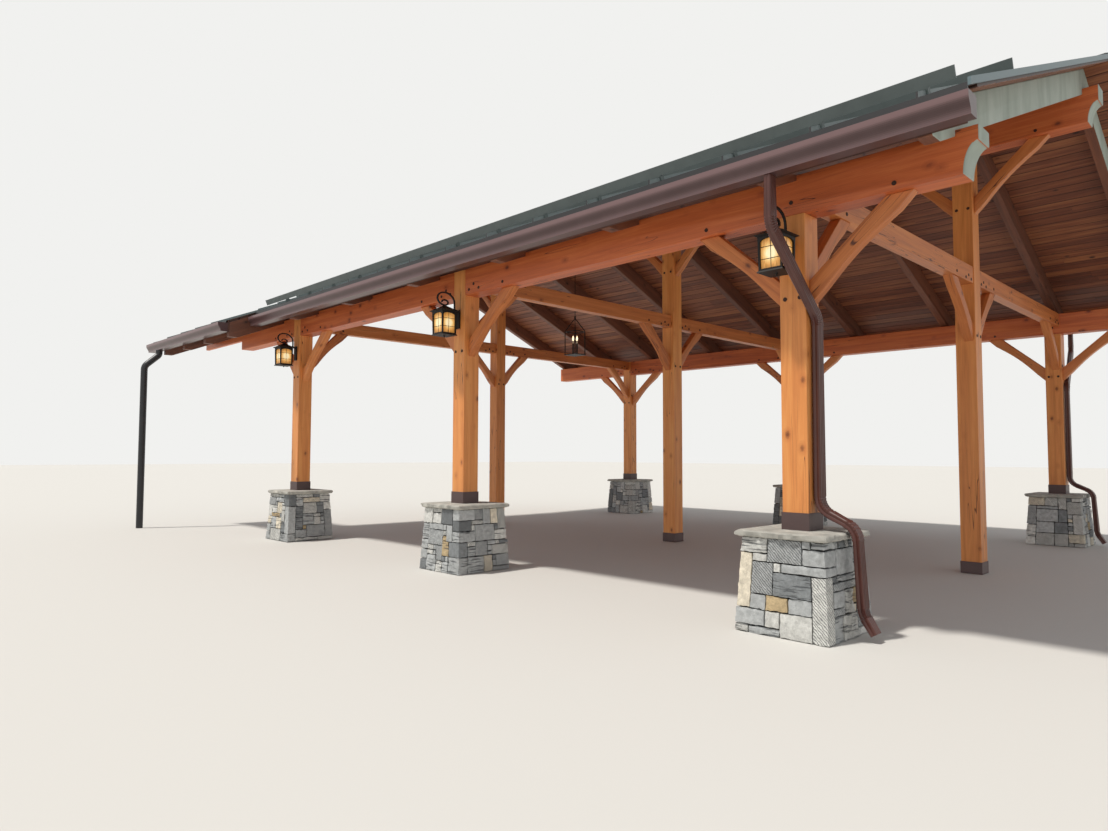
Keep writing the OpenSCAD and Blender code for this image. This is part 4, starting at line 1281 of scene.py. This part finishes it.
def lead_bar(shape, start, end, outward):
    """A bar from start to end with a ridge along its middle, standing proud of the glass."""
    along = (end - start).normalized()
    side = along.cross(outward).normalized() * LEAD_W / 2
    proud = outward * LEAD_T
    section = [-side - proud / 2, side - proud / 2, side + proud / 3, proud / 2, -side + proud / 3]
    stitch(shape, [[shape.verts.new(spot + offset) for offset in section] for spot in (start, end)])


def pane_point(block, turn, across, up):
    """A point on one face of the glass: across from -1 to 1, up from 0 to 1."""
    low, high, foot = block
    top = (high.x - low.x) / 2
    half = foot + (top - foot) * up
    middle = Vector(((low.x + high.x) / 2, (low.y + high.y) / 2, low.z + (high.z - low.z) * up))
    return middle + turn @ Vector((across * half, -half, 0))


shape = bmesh.new()
for block in panes:
    for side in range(4):
        turn = quarter_turn(side)
        outward = turn @ Vector((0, -1, 0))
        lead_bar(shape, pane_point(block, turn, 0, 0), pane_point(block, turn, 0, 1), outward)
        for up in CROSS_BARS:
            lead_bar(shape, pane_point(block, turn, -1, up), pane_point(block, turn, 1, up), outward)
bmesh.ops.recalc_face_normals(shape, faces=shape.faces)
make_piece(shape, "lead_bars", [lantern_iron], smooth_angle=0)

# %% Turn a profile round an upright axis
TURNED_SIDES = 16


def turned(shape, centre, profile):
    """The profile is a list of radius and height, and both of its ends lie on the axis."""
    rings = []
    for radius, height in profile:
        count = TURNED_SIDES if radius else 1
        angles = [math.tau * i / count for i in range(count)]
        spots = [Vector((radius * math.cos(a), radius * math.sin(a), height)) for a in angles]
        rings.append([shape.verts.new(centre + spot) for spot in spots])
    for low, high in zip(rings, rings[1:]):
        for i in range(TURNED_SIDES):
            j = (i + 1) % TURNED_SIDES
            corners = [low[i % len(low)], low[j % len(low)], high[j % len(high)], high[i % len(high)]]
            shape.faces.new(list(dict.fromkeys(corners)))
    bmesh.ops.recalc_face_normals(shape, faces=shape.faces)


# %% Drops under the wall lanterns
DROP = [(0, -0.024), (0.004, -0.023), (0.007, -0.019), (0.007, -0.014), (0.004, -0.010),
    (0.010, -0.006), (0.014, 0.0), (0, 0.001)]
tray_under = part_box("wall_lantern_near")[0].z
shape = bmesh.new()
for low, high, _ in panes:
    turned(shape, Vector(((low.x + high.x) / 2, (low.y + high.y) / 2, tray_under)), DROP)
make_piece(shape, "tray_drops", [lantern_iron], smooth_angle=40)

# %% [markdown]
# The hanging lantern has no glass. Its four candles stand in the open cage, each with an ivory
# sleeve and a bulb in the shape of a flame, and both are turned from a profile.

# %% Sleeves and bulbs on the candles of the hanging lantern
SLEEVE = [(0, 0), (0.013, 0.0), (0.013, 0.042), (0.011, 0.045), (0, 0.045)]
BULB = [(0, 0.044), (0.008, 0.045), (0.009, 0.054), (0.014, 0.068), (0.016, 0.082), (0.014, 0.098),
    (0.009, 0.116), (0.004, 0.130), (0, 0.135)]
CANDLES = 4
CANDLE_OUT = 0.048
CANDLE_TOP = 0.012 + 0.190
low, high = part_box("pendant_lantern")
sleeves = bmesh.new()
bulbs = bmesh.new()
for i in range(CANDLES):
    angle = i * math.tau / CANDLES
    around = Vector((math.cos(angle), math.sin(angle), 0)) * CANDLE_OUT
    top = Vector(((low.x + high.x) / 2, (low.y + high.y) / 2, low.z + CANDLE_TOP)) + around
    turned(sleeves, top, SLEEVE)
    turned(bulbs, top, BULB)
make_piece(sleeves, "candle_sleeves", [candle_ivory], smooth_angle=40)
make_piece(bulbs, "candle_bulbs", [bulb_glass], smooth_angle=60)

# %% [markdown]
# ## Floor, light and camera
#
# A plain pale floor catches the shadow. The light is a broad white surround with a soft sun, so
# that colours come out about as they were written. The camera stands where the photograph was
# taken: that point was worked out from the lines of the roof, the posts and the piers.

# %% Floor
HALF_FLOOR = 90


def scene_object(name, data):
    made = bpy.data.objects.new(name, data)
    bpy.context.scene.collection.objects.link(made)
    return made


shape = bmesh.new()
bmesh.ops.create_grid(shape, x_segments=1, y_segments=1, size=HALF_FLOOR)
floor_mesh = plain_mesh(shape, "floor")
floor_mesh.materials.append(Recipe("pale_floor").finish(linear("#D2D0CB"), 0.9))
floor = scene_object("floor", floor_mesh)

# %% White surround and sun
world = bpy.data.worlds.new("studio_sky")
bpy.context.scene.world = world
world.use_nodes = True
world.node_tree.nodes.clear()
sky = Steps(world.node_tree)
rays = sky.add("ShaderNodeLightPath").node.outputs
seen = sky.math("MAXIMUM", rays["Is Camera Ray"], rays["Is Glossy Ray"])
seen = sky.math("MAXIMUM", seen, rays["Is Transmission Ray"])
lighting = sky.add("ShaderNodeBackground", {"Color": linear("#F4F6FA"), "Strength": 0.50})
backdrop = sky.add("ShaderNodeBackground", {"Color": linear("#F1F1EF"), "Strength": 1.0})
both = sky.add("ShaderNodeMixShader", {0: seen, 1: lighting, 2: backdrop})
sky.add("ShaderNodeOutputWorld", {"Surface": both})

sun_data = bpy.data.lights.new("soft_sun", "SUN")
sun_data.energy = 3.0
sun_data.angle = math.radians(4)
sun_data.color = (1.0, 0.96, 0.90)
sun = scene_object("soft_sun", sun_data)
sun_from = Vector((-0.5, -1.0, 2.3)).normalized()
sun.rotation_mode = "QUATERNION"
sun.rotation_quaternion = sun_from.to_track_quat("Z", "Y")

# %% [markdown]
# The boards and the rafters are seen from below, where little light comes from the surround and
# the sun. A dim wide panel on the floor, hidden from the camera, lights them.

# %% Soft light from below
bounce_data = bpy.data.lights.new("floor_bounce", "AREA")
bounce_data.shape = "RECTANGLE"
bounce_data.size = 13.0
bounce_data.size_y = 10.0
bounce_data.energy = 70
bounce_data.color = (1.0, 0.97, 0.91)
bounce = scene_object("floor_bounce", bounce_data)
bounce.location = (0.0, 0.0, 0.01)
bounce.rotation_euler = (math.pi, 0.0, 0.0)
bounce.visible_camera = False

# %% Camera
PICTURE_WIDTH = 1108
FOCAL_PIXELS = 747.864
SENSOR_WIDTH = 36.0
YAW = math.radians(44.314)
PITCH_UP = math.radians(2.983)
ROLL = math.radians(0.171)
# Metres from the middle bent, from the ridge and from the ground
CAMERA_OUT = 6.901
CAMERA_ASIDE = 9.268
CAMERA_UP = 1.308
camera_data = bpy.data.cameras.new("camera")
camera_data.sensor_fit = "HORIZONTAL"
camera_data.sensor_width = SENSOR_WIDTH
camera_data.lens = FOCAL_PIXELS * SENSOR_WIDTH / PICTURE_WIDTH
camera_data.clip_end = 400
camera = scene_object("camera", camera_data)
forward = Vector((-math.cos(YAW) * math.cos(PITCH_UP), math.sin(YAW) * math.cos(PITCH_UP),
    math.sin(PITCH_UP)))
camera.location = (bents["mid"] + CAMERA_OUT, rows["centre"] - CAMERA_ASIDE, CAMERA_UP)
level = forward.to_track_quat("-Z", "Y").to_matrix()
turned_level = level @ Matrix.Rotation(ROLL, 3, "Z")
camera.matrix_world = Matrix.Translation(camera.location) @ turned_level.to_4x4()
bpy.context.scene.camera = camera
bpy.context.scene.view_settings.view_transform = "Standard"
print("camera at", tuple(round(c, 3) for c in camera.location))
